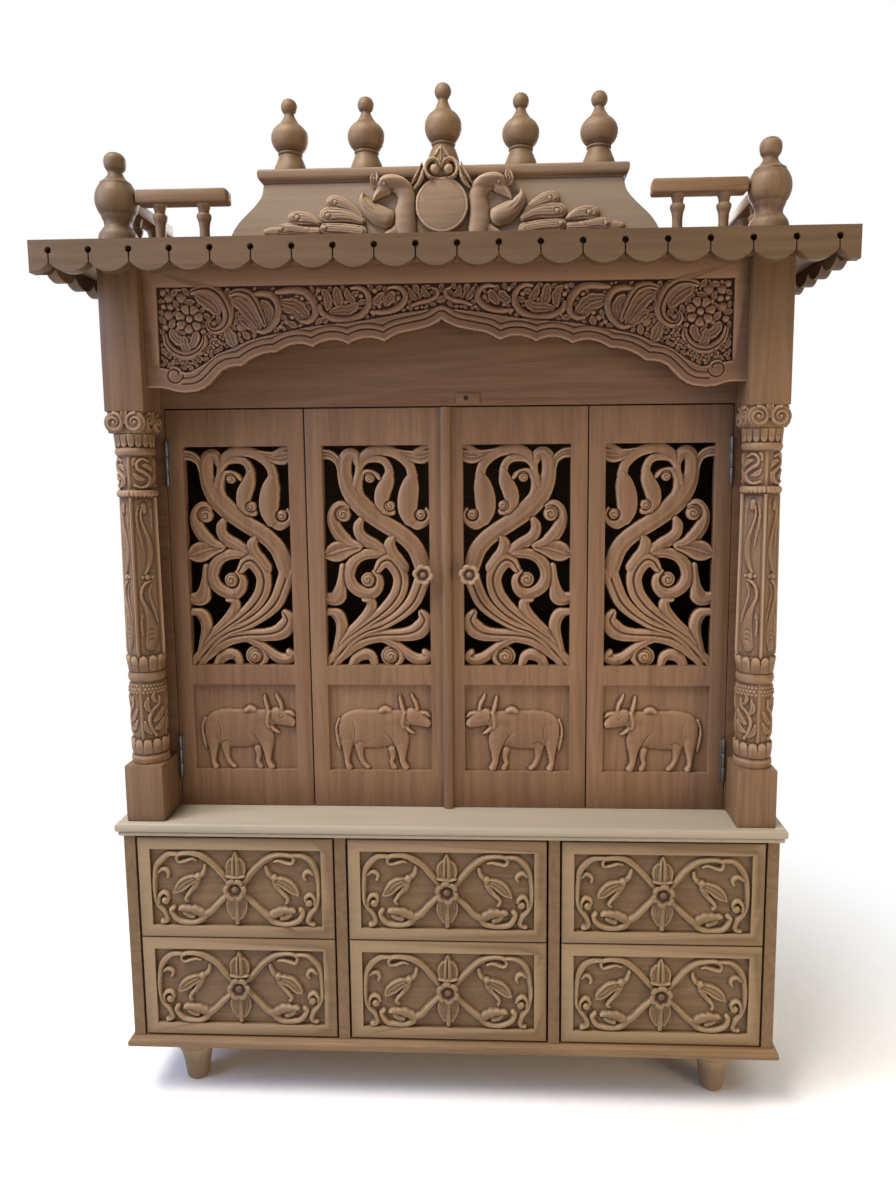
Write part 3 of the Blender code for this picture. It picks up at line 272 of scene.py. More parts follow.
def piece(name, mesh, material, replaced=None, body=ROOT, smooth_angle=40):
    """Finishes a mesh in the row frame as a piece that rides on a body."""
    mesh.name = name
    mesh.materials.clear()
    mesh.materials.append(material)
    mesh.shade_smooth()
    mesh.set_sharp_from_angle(angle=math.radians(smooth_angle))
    obj = bpy.data.objects.new(name, mesh)
    bpy.context.scene.collection.objects.link(obj)
    mark_tones_and_painted_light(mesh, name, float(len(made) % 23) + 1.0)
    made.append(obj)
    if replaced:
        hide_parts(replaced)
    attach(obj, body)
    return obj


def box_mm(node):
    low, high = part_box(node)
    return [c / MM for c in low], [c / MM for c in high]


def middle_mm(node):
    return [(a + b) / 2 for a, b in zip(*box_mm(node))]


# Reliefs
CARVE = 1.25
COARSE = 1.5


def unit(values):
    return np.clip(values, 0, 1)


def swell(values, place, width):
    """A smooth rise to 1 at a place, gone at twice its width to either side."""
    return np.exp(-((values - place) / width) ** 2)


def half_round(values):
    """A half circle over -1 to 1."""
    return np.sqrt(unit(1 - values ** 2))


def curved(given, count):
    """Rows on a smooth curve through given rows; count says how many start at each of them."""
    padded = np.vstack([2 * given[0] - given[1], given, 2 * given[-1] - given[-2]])
    rows = []
    for a, b, c, d in zip(padded, padded[1:], padded[2:], padded[3:]):
        t = np.linspace(0, 1, count(b, c), endpoint=False)[:, None]
        rows.append(0.5 * (2 * b + (c - a) * t + (2 * a - 5 * b + 4 * c - d) * t ** 2
                           + (3 * b - a - 3 * c + d) * t ** 3))
    return np.vstack(rows + [given[-1:]])


def sampled(points, step=0.8):
    """A smooth curve through points of (across, up, half width), sampled about every step."""
    given = np.array(points, float)
    if len(given) == 1:
        return given
    return curved(given, lambda b, c: max(2, int(np.hypot(*(c - b)[:2]) / step)))


def sampled_line(points, step):
    """The same for points of (across, up)."""
    return [tuple(p[:2]) for p in sampled([(*p, 1) for p in points], step)]


def reflected(points, mirror, wider=1.0):
    """A stroke's points, on the other side for a mirror of -1, and with its half widths times wider."""
    return [(mirror * x, y, wider * r) for x, y, r in points]


def spiral(centre, count, at):
    """A stroke round a centre; at gives the angle, reach and half width at each share of its length."""
    rows = [at(k / (count - 1)) for k in range(count)]
    return [(centre[0] + reach * math.cos(angle), centre[1] + reach * math.sin(angle), width)
            for angle, reach, width in rows]


def blurred(grid, radius):
    kernel = np.hanning(2 * radius + 3)[1:-1]
    kernel /= kernel.sum()
    padded = np.pad(grid, radius, mode="edge")
    for axis in (0, 1):
        padded = np.apply_along_axis(np.convolve, axis, padded, kernel, "valid")
    return padded


# Sections of a stroke: share runs from 0 on its spine to 1 at its edge, side from -1 to 1 across it
def rounded(share, side):
    return np.sqrt(unit(1 - share ** 2.2))


def ribbed(share, side):
    """Rounded, with a soft ridge a little to one side of the middle."""
    return unit(1 - share ** 2) ** 0.55 * (0.88 + 0.14 * swell(side, 0.22, 0.24))


def furrowed(share, side):
    """Two ribs side by side with a groove between them."""
    return np.sqrt(unit(1 - share ** 4)) * (1.0 - 0.42 * swell(side, 0.1, 0.17) - 0.10 * share)


def cupped(share, side):
    """A leaf hollowed between its rim and its vein."""
    hollow = 0.62 + 0.38 * unit(share / 0.8) ** 2 + 0.26 * swell(side, 0, 0.13)
    return np.sqrt(unit(1 - share ** 6)) * hollow


def domed(share, side):
    return unit(1 - share ** 2) ** 0.42


def rimmed(share, side):
    """A plump form with a line drawn inside its edge."""
    return unit(1 - share ** 3) ** 0.5 * (1 - 0.24 * swell(share, 0.62, 0.09))


class Relief:
    """Heights in millimetres on a grid over a rectangle, raised by strokes.

    A pierced relief is open wherever no stroke lies. Grooves are kept apart until settle cuts them.
    """

    def __init__(self, us, vs, pierced=False, seed=1, rough=0.0):
        self.us, self.vs = np.asarray(us, float), np.asarray(vs, float)
        self.u, self.v = np.meshgrid(self.us, self.vs)
        self.height, self.cuts = np.zeros(self.u.shape), np.zeros(self.u.shape)
        if rough:
            marks = blurred(np.random.default_rng(seed).normal(0, 1, self.u.shape), 2)
            self.height += marks / np.abs(marks).max() * rough
        self.pierced = pierced
        self.gap = np.full(self.u.shape, -99.0 if pierced else 99.0)

    def patch(self, low, high):
        i0, i1 = np.searchsorted(self.us, (low[0], high[0]))
        j0, j1 = np.searchsorted(self.vs, (low[1], high[1]))
        return slice(max(j0 - 1, 0), j1 + 1), slice(max(i0 - 1, 0), i1 + 1)

    def around(self, centre, reach):
        return self.patch((centre[0] - reach, centre[1] - reach), (centre[0] + reach, centre[1] + reach))

    def stroke(self, points, rise, section=rounded, floor=0.0, lobes=0, depth=0.22):
        path = sampled(points)
        radii = np.maximum(path[:, 2], 0.4)
        heading = np.array([[1.0, 0.0]])
        if len(path) > 1:
            heading = np.gradient(path[:, :2], axis=0)
            along = np.concatenate([[0.0], np.cumsum(np.hypot(*np.diff(path[:, :2], axis=0).T))])
            along /= max(along[-1], 1e-6)
            if lobes:
                radii = radii * (1 - depth + depth * np.abs(np.sin(np.pi * lobes * along)))
        heading /= np.maximum(np.hypot(*heading.T), 1e-6)[:, None]
        margin = 4.0
        reach = radii.max() + margin
        whole = self.patch(path[:, :2].min(0) - reach, path[:, :2].max(0) + reach)
        u, v = self.u[whole], self.v[whole]
        nearest = np.full(u.shape, -99.0)
        share, side = np.ones(u.shape), np.zeros(u.shape)
        row0, col0 = whole[0].start, whole[1].start
        for (x, y), r, (tx, ty) in zip(path[:, :2], radii, heading):
            rows, cols = self.around((x, y), r + margin)
            local = (slice(rows.start - row0, rows.stop - row0), slice(cols.start - col0, cols.stop - col0))
            du, dv = u[local] - x, v[local] - y
            away = np.hypot(du, dv)
            better = r - away > nearest[local]
            for grid, value in ((nearest, r - away), (share, away / r), (side, (tx * dv - ty * du) / r)):
                grid[local] = np.where(better, value, grid[local])
        self.lay(whole, nearest, floor + rise * section(unit(share), np.clip(side, -1, 1)))

    def lay(self, whole, nearest, level):
        """Raises what is inside a shape; outside it, an open place takes on the level of its edge."""
        height, gap = self.height[whole], self.gap[whole]
        was_in, now_in = gap > 0, nearest > 0
        raised = np.where(was_in, np.maximum(height, level), level)
        closer = ~was_in & ~now_in & (nearest > gap)
        self.height[whole] = np.where(now_in, raised, np.where(closer, level, height))
        if self.pierced:
            self.gap[whole] = np.maximum(gap, nearest)

    def ball(self, centre, radius, rise, floor=0.0, moat=0.0):
        """A half ball, with a moat cut round it in what is already there."""
        whole = self.around(centre, 2 * radius)
        away = np.hypot(self.u[whole] - centre[0], self.v[whole] - centre[1])
        if moat:
            self.height[whole] -= np.where(self.gap[whole] > 0, moat * swell(away / radius, 1.12, 0.16), 0)
        self.lay(whole, radius - away, floor + rise * half_round(away / radius))

    def flower(self, centre, radius, rise, petals=6, turn=0.3):
        whole = self.around(centre, radius + 4)
        du, dv = self.u[whole] - centre[0], self.v[whole] - centre[1]
        away = np.hypot(du, dv)
        phase = (np.arctan2(dv, du) + turn) * petals / (2 * np.pi)
        phase -= np.floor(phase)
        edge = radius * (0.70 + 0.30 * np.sqrt(unit(np.sin(np.pi * phase))))
        share = unit(away / edge)
        between = np.minimum(phase, 1 - phase) * away * 2 * np.pi / petals
        level = 0.42 + 0.50 * np.sqrt(unit(1 - np.abs(share - 0.72) ** 2 * 7))
        level -= 0.45 * swell(between, 0, 0.07 * radius) * (share > 0.25)
        button = 0.25 * radius
        level = np.where(away < button, 0.45 + 0.55 * half_round(away / button), level)
        self.height[whole] = np.where((edge - away > 0) & (away > 0), 0, self.height[whole])
        self.lay(whole, edge - away, rise * level)

    def groove(self, points, depth):
        """Cuts a rounded groove along a line of (across, up, half width)."""
        for x, y, r in sampled(points):
            whole = self.around((x, y), 2 * r)
            away = np.hypot(self.u[whole] - x, self.v[whole] - y) / r
            self.cuts[whole] = np.maximum(self.cuts[whole], depth * unit(1 - away ** 2))

    def settle(self):
        self.height -= self.cuts
        self.cuts[:] = 0

    def hollows(self):
        """How far each point stands above its surroundings, from -1 to 1."""
        level = np.where(self.gap > 0, self.height, 0) if self.pierced else self.height
        return np.clip((level - blurred(level, 3)) / 1.3, -1, 1)

    def mesh(self, place, back=0.0, keep=0.4, hollow_shade=1.0):
        """One closed mesh of the carved face, a flat back and the walls between them."""
        self.settle()
        tone = self.hollows()
        # The relief mark is painted light and shade: hollows darker, times the given share of painted shade,
        # crests lighter
        grids = (self.u, self.v, self.height, np.where(tone < 0, hollow_shade * tone, tone))
        inside = self.gap > 0
        number = np.cumsum(inside).reshape(inside.shape) - 1
        points = [grid[inside] for grid in grids]
        count = int(inside.sum())
        extra, crossing = [], {}

        def cross(a, b):
            key = (a, b) if a < b else (b, a)
            if key not in crossing:
                ga, gb = self.gap[a], self.gap[b]
                t = ga / (ga - gb)
                crossing[key] = count + len(extra)
                extra.append([grid[a] + (grid[b] - grid[a]) * t for grid in grids])
            return crossing[key]

        corners = (inside[:-1, :-1], inside[1:, :-1], inside[:-1, 1:], inside[1:, 1:])
        full = np.logical_and.reduce(corners)
        j, i = np.nonzero(full)
        faces = np.stack([number[j, i], number[j, i + 1], number[j + 1, i + 1], number[j + 1, i]], 1).tolist()
        for j, i in zip(*np.nonzero(np.logical_or.reduce(corners) & ~full)):
            ring = []
            square = ((j, i), (j, i + 1), (j + 1, i + 1), (j + 1, i))
            for here, after in zip(square, square[1:] + square[:1]):
                if inside[here]:
                    ring.append(int(number[here]))
                if inside[here] != inside[after]:
                    ring.append(cross(here, after))
            faces.append(ring)
        if extra:
            points = [np.concatenate([p, q]) for p, q in zip(points, np.array(extra).T)]
        total = len(points[0])
        edges = {(a, b) for face in faces for a, b in zip(face, face[1:] + face[:1])}
        rim = [(a, b) for a, b in edges if (b, a) not in edges]
        if self.pierced:
            faces += [[k + total for k in reversed(face)] for face in faces]
            rear = {k: k + total for k in range(total)}
        else:
            follow = dict(rim)
            loop = [rim[0][0]]
            while follow[loop[-1]] != loop[0]:
                loop.append(follow[loop[-1]])
            rear = {k: total + n for n, k in enumerate(loop)}
            faces.append([rear[k] for k in reversed(loop)])
        faces += [[b, a, rear[a], rear[b]] for a, b in rim]
        order = sorted(rear, key=rear.get)
        # The back, and the walls towards it, are marked -0.8: painted shade
        flat = (points[0][order], points[1][order], np.full(len(order), back), np.full(len(order), -0.8))
        u, v, h, shade = (np.concatenate(pair) for pair in zip(points, flat))
        mesh = bpy.data.meshes.new("relief")
        mesh.from_pydata(np.stack(place(u, v, h), 1) * MM, [], faces)
        mark(mesh, "relief", shade)
        mesh.update()
        return thinned(mesh, keep)


def thinned(mesh, keep):
    """Leaves out flat detail, down to a share of the mesh's triangles."""
    obj = bpy.data.objects.new("thinning", mesh)
    bpy.context.scene.collection.objects.link(obj)
    modifier = obj.modifiers.new("thin", "DECIMATE")
    modifier.ratio = keep
    out = bpy.data.meshes.new_from_object(obj.evaluated_get(bpy.context.evaluated_depsgraph_get()))
    bpy.data.objects.remove(obj, do_unlink=True)
    bpy.data.meshes.remove(mesh)
    return out


def grid_lines(low, high, cell, creases=()):
    """Lines across a relief, doubled where its level steps."""
    lines = list(np.linspace(low, high, int(round((high - low) / cell)) + 1))
    for crease in creases:
        lines = [x for x in lines if abs(x - crease) > 0.45] + [crease - 0.12, crease + 0.12]
    return sorted(lines)


def facing(x, z, back):
    """Places a relief on the front: its zero at x and z, its level 0 on the plane at back."""
    return lambda u, v, h: (x + u, back - h, z + v)


# Solid pieces
def vert(bm, x, y, z):
    return bm.verts.new((x * MM, y * MM, z * MM))


def written(bm):
    mesh = bpy.data.meshes.new("solid")
    bm.to_mesh(mesh)
    bm.free()
    return mesh


def mesh_from(bm):
    bmesh.ops.recalc_face_normals(bm, faces=bm.faces)
    return written(bm)


def stepped(us, vs, levels, back, edge=1.2):
    """A board whose face stands at a level of its own in each field of a grid; 0 is a hole."""
    bm = bmesh.new()
    found = {}

    def vertex(i, j, level):
        if (i, j, level) not in found:
            found[i, j, level] = vert(bm, us[i], back - level, vs[j])
        return found[i, j, level]

    def level_at(i, j):
        return levels[j][i] if 0 <= i < len(us) - 1 and 0 <= j < len(vs) - 1 else 0

    for j in range(len(vs) - 1):
        for i in range(len(us) - 1):
            level = levels[j][i]
            if not level:
                continue
            corners = [(i, j), (i + 1, j), (i + 1, j + 1), (i, j + 1)]
            bm.faces.new([vertex(*c, level) for c in corners])
            bm.faces.new([vertex(*c, 0) for c in reversed(corners)])
            steps = ((0, -1), (1, 0), (0, 1), (-1, 0))
            for (di, dj), a, b in zip(steps, corners, corners[1:] + corners[:1]):
                other = level_at(i + di, j + dj)
                if other < level:
                    wall = ((b, level), (a, level), (a, other), (b, other))
                    bm.faces.new([vertex(*corner, height) for corner, height in wall])
    bmesh.ops.recalc_face_normals(bm, faces=bm.faces)
    sharp = [e for e in bm.edges if len(e.link_faces) == 2 and e.calc_face_angle() > 0.5]
    bmesh.ops.bevel(bm, geom=sharp, offset=edge * MM, segments=2, affect="EDGES", clamp_overlap=True,
                    profile=0.5)
    return mesh_from(bm)


def block(low, high, edge=1.2):
    return stepped((low[0], high[0]), (low[2], high[2]), [[high[1] - low[1]]], high[1], edge)


def turned(profile, centre, segments=48, smooth=3):
    """A turned solid: (radius, height) from the bottom up, smoothed between its points."""
    rows = smooth_profile(profile, smooth)
    bm = bmesh.new()
    rings = []
    for radius, height in rows:
        count, reach = (segments, radius) if radius > 0.05 else (1, 0.0)
        angles = [2 * math.pi * k / count for k in range(count)]
        rings.append([vert(bm, centre[0] + reach * math.cos(a), centre[1] + reach * math.sin(a),
                           centre[2] + height) for a in angles])
    skin(bm, rings)
    radii = np.array([r for r, _ in rows])
    mesh = mesh_from(bm)
    around = np.convolve(np.pad(radii, 2, mode="edge"), np.ones(5) / 5, "valid")
    # Necks are marked darker, painted shade, and bulges lighter, rubbed wear with a painted highlight
    tone = np.clip((radii - around) * 0.9, -1, 1)
    mark(mesh, "relief", np.concatenate([np.full(len(ring), t) for ring, t in zip(rings, tone)]))
    return mesh


def smooth_profile(profile, steps):
    """Eases between the points of a profile; a point given as (radius, height, 1) stays a crisp corner."""
    if steps < 2:
        return [(p[0], p[1]) for p in profile]
    out, run = [], []
    for point in profile:
        run.append(point)
        if len(point) > 2 and len(run) > 1:
            out += eased(run, steps)[:-1]
            run = [point]
    if len(run) > 1:
        out += eased(run, steps)
    else:
        out.append(run[0][:2])
    return [(max(r, 0.0), h) for r, h in out]


def eased(run, steps):
    given = np.array([p[:2] for p in run], float)
    return [tuple(p) for p in (given if len(given) == 2 else curved(given, lambda b, c: steps))]


def skin(bm, rings):
    """Skins rings of vertices into a closed solid; a ring of one vertex is a point."""
    for lower, upper in zip(rings, rings[1:]):
        count = max(len(lower), len(upper))
        for k in range(count):
            corners = [lower[k % len(lower)], lower[(k + 1) % len(lower)],
                       upper[(k + 1) % len(upper)], upper[k % len(upper)]]
            bm.faces.new(list(dict.fromkeys(corners)))
    for ring in (rings[0], rings[-1]):
        if len(ring) > 2:
            bm.faces.new(ring)


# Carved flower knob: share of its radius, share of its reach, and how much the petals shape that ring
KNOB = (
    (0.46, 0.0, 0.0), (0.42, 0.30, 0.0), (0.52, 0.46, 0.3), (0.86, 0.60, 0.8), (1.00, 0.76, 1.0),
    (0.99, 0.88, 1.0), (0.86, 0.97, 1.0), (0.70, 0.95, 0.9), (0.54, 0.82, 0.6), (0.42, 0.72, 0.3),
    (0.34, 0.70, 0.0), (0.29, 0.78, 0.0), (0.22, 0.87, 0.0), (0.12, 0.93, 0.0), (0.0, 0.95, 0.0),
)


def flower_knob(centre, root, radius, reach, petals=6, turn=0.2, segments=72):
    """A carved flower on a stem, pointing to the front from the plane at root."""
    bm = bmesh.new()
    rings, tones = [], []
    for share, height, shaped in KNOB:
        count = segments if share else 1
        ring = []
        for k in range(count):
            angle = 2 * math.pi * k / count
            between = 1 - abs(math.cos((angle + turn) * petals / 2)) ** 0.45
            lobe = radius * share * (1 - 0.24 * shaped * between)
            drop = reach * (height - 0.12 * shaped * between)
            ring.append(vert(bm, centre[0] + lobe * math.cos(angle), root - drop,
                             centre[1] + lobe * math.sin(angle)))
            # The hollow inside the petals is marked dark, painted shade; the petals' rims lighter, rubbed
            # wear with a painted highlight; the rest a little darker
            tones.append(-1.0 if 0.3 < share < 0.56 and height > 0.65 else (0.6 if shaped > 0.85 else -0.2))
        rings.append(ring)
    skin(bm, rings)
    mesh = mesh_from(bm)
    mark(mesh, "relief", tones)
    return mesh


def joined(meshes, finishes=None):
    """One mesh of several; finishes gives each one's material number."""
    bm = bmesh.new()
    for index, mesh in enumerate(meshes):
        if "relief" not in mesh.attributes:
            mark(mesh, "relief", 0.0)
        number = finishes[index] if finishes else 0
        mesh.polygons.foreach_set("material_index", np.full(len(mesh.polygons), number, np.int32))
        bm.from_mesh(mesh)
        bpy.data.meshes.remove(mesh)
    return written(bm)


def mirrored_copy(mesh, about):
    """The same mesh, reflected left to right about a plane."""
    out = mesh.copy()
    out.transform(Matrix.Translation((2 * about * MM, 0, 0)) @ Matrix.Scale(-1, 4, (1, 0, 0)))
    out.flip_normals()
    return out


# Camera and light
def place_camera():
    yaw, pitch, roll = (math.radians(a) for a in (CAMERA_YAW, CAMERA_PITCH, CAMERA_ROLL))
    forward = Vector((math.sin(yaw) * math.cos(pitch), math.cos(yaw) * math.cos(pitch), -math.sin(pitch)))
    right = Vector((math.cos(yaw), -math.sin(yaw), 0.0))
    up = right.cross(forward)
    right, up = (right * math.cos(roll) + up * math.sin(roll), -right * math.sin(roll) + up * math.cos(roll))
    camera = bpy.data.cameras.new("photo_camera")
    camera.sensor_fit = "VERTICAL"
    camera.sensor_height = SENSOR
    camera.lens = PHOTO_FOCAL / PHOTO_SIZE[1] * SENSOR
    longest = max(PHOTO_SIZE)
    camera.shift_x = (PHOTO_SIZE[0] / 2 - PHOTO_CENTRE[0]) / longest
    camera.shift_y = (PHOTO_CENTRE[1] - PHOTO_SIZE[1] / 2) / longest
    obj = bpy.data.objects.new("photo_camera", camera)
    bpy.context.scene.collection.objects.link(obj)
    rotation = Matrix((right, up, -forward)).transposed()
    obj.matrix_world = Matrix.Translation(CAMERA_PLACE) @ rotation.to_4x4()
    bpy.context.scene.camera = obj


# Name, place, target, size, power and colour
LAMPS = (
    ("overhead", (-1.5, -1.5, 4.4), (0.0, -0.1, 0.6), (2.2, 1.5), 238, (1.0, 0.94, 0.84)),
    ("left_window", (-2.3, -1.2, 1.9), (0.0, -0.1, 0.9), (1.0, 1.6), 60, (0.62, 0.70, 1.0)),
    ("right_lamp", (2.0, -1.5, 0.55), (0.1, -0.1, 0.6), (0.9, 0.9), 23, (1.0, 0.73, 0.44)),
    ("rear_window", (0.7, 3.2, 2.3), (0.0, 0.1, 0.8), (2.0, 1.4), 105, (1.0, 0.97, 0.93)),
)
WORLD_LIGHT = 0.14
WHITE = (1.0, 1.0, 1.0)


def area_light(name, place, target, size, power, colour):
    light = bpy.data.lights.new(name, "AREA")
    light.shape = "RECTANGLE"
    light.size, light.size_y = size
    light.energy = power
    light.color = colour
    obj = bpy.data.objects.new(name, light)
    obj.location = place
    obj.rotation_euler = (Vector(target) - Vector(place)).to_track_quat("-Z", "Y").to_euler()
    bpy.context.scene.collection.objects.link(obj)


def seen_rays(tree):
    """1 for rays that see the backdrop, straight or reflected, and 0 for those that light the object."""
    path = add_node(tree, "ShaderNodeLightPath").outputs
    rays = math_node(tree, "MAXIMUM", path["Is Camera Ray"], path["Is Glossy Ray"])
    return math_node(tree, "MAXIMUM", rays, path["Is Transmission Ray"])


def light_studio():
    for lamp in LAMPS:
        area_light(*lamp)
    world = bpy.data.worlds.new("studio")
    world.use_nodes = True
    tree = world.node_tree
    background = tree.nodes["Background"]
    background.inputs["Color"].default_value = (*WHITE, 1.0)
    background.inputs["Strength"].default_value = WORLD_LIGHT
    seen = add_node(tree, "ShaderNodeBackground", {"Color": WHITE, "Strength": 1.0})
    mix_shaders(tree, seen_rays(tree), background, seen, "World Output")
    bpy.context.scene.world = world
    bpy.context.scene.view_settings.view_transform = "Standard"


# How far from the middle the floor begins to fade, and is gone, in metres
FLOOR_FADE = (0.55, 1.25)


def lay_floor():
    """A pale floor that keeps the temple's shadow and fades into the white of the backdrop."""
    bm = bmesh.new()
    bmesh.ops.create_grid(bm, x_segments=1, y_segments=1, size=30.0)
    mesh = mesh_from(bm)
    material, tree, shader = node_tree("pale_floor")
    place = add_node(tree, "ShaderNodeTexCoord").outputs["Object"]
    grain = stretched_noise(tree, place, (40, 40, 40), 4, 0.6)
    feed(shader.inputs["Base Color"], ramp(tree, grain, (0.3, grey(0.86)), (0.7, grey(0.90))))
    shader.inputs["Roughness"].default_value = 0.9
    away = add_node(tree, "ShaderNodeVectorMath", {0: place}, operation="LENGTH").outputs["Value"]
    values = {"Value": away, "From Min": FLOOR_FADE[0], "From Max": FLOOR_FADE[1]}
    fade = add_node(tree, "ShaderNodeMapRange", values, interpolation_type="SMOOTHSTEP").outputs["Result"]
    white = add_node(tree, "ShaderNodeEmission", {"Color": WHITE, "Strength": 1.0})
    mix_shaders(tree, math_node(tree, "MULTIPLY", seen_rays(tree), fade), shader, white, "Material Output")
    mesh.materials.append(material)
    obj = bpy.data.objects.new("floor", mesh)
    bpy.context.scene.collection.objects.link(obj)


place_camera()
light_studio()
lay_floor()


# Front plane of the temple, in millimetres behind the world's origin
FRONT = -214.0

# Door leaves: drawn from the lower left corner of the window
DOOR_THICKNESS = 20.0
WINDOW = (27, 246, 613)      # margin at the sides, then its bottom and top above the counter
COW_PANEL = (64, 213, 7)     # bottom and top above the counter, and its depth
STEMS = (
    ([(166, 156, 14), (160, 175, 14), (152, 195, 14), (138, 212, 14), (120, 226, 14), (102, 237, 14),
      (84, 250, 15), (66, 265, 16), (51, 282, 16), (40, 302, 14), (35, 322, 12), (36, 342, 12),
      (44, 352, 12), (54, 350, 9), (58, 338, 6)], ribbed, 9.5),
    ([(52, 302, 7), (58, 320, 6), (61, 335, 7), (68, 348, 9), (82, 357, 10), (100, 359, 9), (118, 355, 8.5),
      (134, 345, 8.5), (144, 332, 8), (148, 316, 8.5)], rounded, 8),
    ([(147, 318, 6), (144, 302, 14), (140, 282, 17), (139, 262, 16), (143, 246, 12)], domed, 9.5),
    ([(143, 250, 9), (148, 241, 9), (156, 237, 9), (168, 241, 6), (175, 251, 5),
      (170, 262, 3)], rounded, 7),
    ([(61, 332, 4), (71, 342, 5), (84, 346, 6.5), (97, 344, 6.5), (106, 336, 6.5),
      (110, 323, 7)], rounded, 7),
    ([(110, 326, 5), (106, 308, 11), (98, 290, 13), (96, 273, 11), (102, 261, 8)], domed, 9),
    ([(98, 268, 7), (103, 260, 7), (113, 258, 6)], rounded, 6),
    ([(64, 278, 6), (59, 295, 6), (59, 310, 6), (66, 321, 6), (77, 323, 5), (88, 319, 4),
      (93, 313, 3)], rounded, 7),
    ([(124, 356, 5), (139, 352, 7), (154, 348, 10), (166, 348, 11), (178, 352, 8)], cupped, 8),
    ([(150, 352, 7), (166, 362, 6), (180, 368, 6)], rounded, 7),
    ([(-5, 354, 9), (12, 352, 8), (24, 342, 6), (28, 325, 4)], cupped, 8),
    ([(58, 202, 6), (44, 205, 8), (30, 215, 11), (20, 228, 11), (14, 244, 10), (16, 259, 9), (26, 269, 8),
      (37, 266, 6)], ribbed, 8.5),
    ([(61, 245, 5), (56, 235, 8), (58, 222, 9), (68, 211, 10), (82, 203, 10), (96, 192, 9)], ribbed, 8),
    ([(54, 200, 8), (36, 197, 13), (19, 192, 17), (6, 188, 9), (-3, 186, 4)], cupped, 8.5),
    ([(92, 190, 9), (69, 188, 9), (52, 180, 9), (41, 165, 10), (39, 148, 10), (46, 133, 10), (59, 124, 10),
      (74, 121, 10), (86, 130, 9), (89, 146, 7), (81, 158, 4)], ribbed, 9),
    ([(88, 163, 7), (96, 174, 10), (108, 176, 13), (120, 163, 13), (126, 145, 13), (121, 122, 13),
      (107, 102, 12), (88, 85, 10), (64, 68, 8), (39, 50, 6)], furrowed, 9.5),
    ([(114, 216, 5), (108, 205, 9), (111, 190, 11), (119, 178, 12), (129, 165, 11)], ribbed, 8.5),
    ([(166, 156, 14), (157, 132, 13), (147, 110, 12.5), (132, 93, 11), (112, 78, 9), (89, 66, 9),
      (64, 57, 9), (39, 40, 10), (19, 18, 12), (6, 2, 14)], furrowed, 9.5),
    ([(14, 12, 12), (39, 32, 13), (64, 45, 12), (94, 50, 11), (123, 51, 11), (144, 54, 13), (158, 62, 15),
      (166, 76, 12), (160, 89, 6)], furrowed, 8.5),
    ([(12, 10, 8), (17, 32, 8), (23, 55, 9), (24, 71, 10), (18, 85, 10), (8, 90, 7),
      (-3, 90, 6)], ribbed, 8.5),
    ([(28, 168, 5), (26, 150, 6), (24, 132, 9), (20, 117, 13), (11, 112, 11), (-3, 115, 9)], ribbed, 8),
    ([(24, 38, 6), (39, 55, 8), (56, 70, 10), (70, 85, 11), (76, 100, 9), (73, 110, 7),
      (63, 111, 4)], ribbed, 9),
    ([(41, -3, 8), (48, 11, 9), (62, 18, 10), (74, 14, 8), (80, -2, 6)], ribbed, 7.5),
    ([(89, 46, 6), (106, 39, 7), (119, 27, 7), (124, 12, 6), (118, 1, 5)], rounded, 7.5),
    ([(92, 47, 6), (112, 37, 7), (128, 24, 8), (144, 12, 9), (158, 8, 10), (170, 14, 7),
      (164, 22, 5)], ribbed, 8.5),
)
BALLS = ((71, 145, 12), (77, 314, 8), (110, 268, 8), (161, 253, 9), (32, 254, 12), (107, 15, 12))
COW_SWELL = 1.22             # how much higher the body is carved than drawn
COW_BODY = (
    ([(42, 77, 26), (54, 72.5, 33), (70, 71.5, 33.6), (88, 72, 32.6), (106, 74, 30)], 5.2),  # barrel
    ([(32, 74, 17), (28.5, 62, 13), (28.5, 50, 10.5)], 5.6),  # rump
    ([(29.5, 50, 12), (29.5, 36, 8), (29.2, 22, 5.4), (29.6, 12, 4.6), (32.4, 4.2, 5.8)], 6.2),  # hind legs
    ([(51, 44, 9.4), (51.4, 30, 6), (54, 18, 4.6), (59, 9, 4.4), (64.6, 4, 4.2)], 4.0),
    ([(112, 72, 20), (119.6, 56, 16), (124, 42, 10.6)], 5.8),  # shoulder
    ([(123, 44, 11), (124.2, 29, 7.2), (125, 15, 5.4), (129.4, 4.6, 6.2)], 6.4),  # front legs
    ([(106.4, 36, 6.6), (108, 24, 4.8), (106, 13, 4.2), (109.8, 4.2, 5.2)], 3.8),
    ([(89, 103.4, 4.6), (95.6, 106.4, 6), (102.6, 104.6, 5)], 5.6),  # hump
    ([(106, 88, 17), (120, 88.6, 16), (132, 91, 14)], 5.4),  # neck
    ([(141, 93.6, 15), (150.6, 91, 14), (159.4, 86.8, 11.4), (166.4, 82.6, 8.2)], 6.8),  # head
    ([(121.5, 131, 1.4), (123, 121, 3.2), (125.6, 110, 3.8), (128, 101, 3)], 6.6),  # near horn
    ([(129, 101, 4), (126.6, 91, 4.4), (125.6, 81, 3.6), (128, 73.6, 1.6)], 7.4),  # near ear
    ([(141, 133, 1.3), (144, 125.6, 3), (148.6, 117, 3.6), (151, 107, 3)], 5.8),  # far horn
    ([(158, 101.4, 2.6), (166, 99.6, 3.4), (172.6, 93.6, 1.8)], 5.2),  # far ear
    ([(132, 75, 3.6), (137.6, 68.6, 3.2), (144.6, 64.4, 1.6)], 5.2),  # dewlap
    ([(17, 90, 1.8), (12.6, 76, 2), (12.6, 62, 2.3), (15, 48, 2.9), (17.6, 36, 1.6)], 4.6),  # tail
)
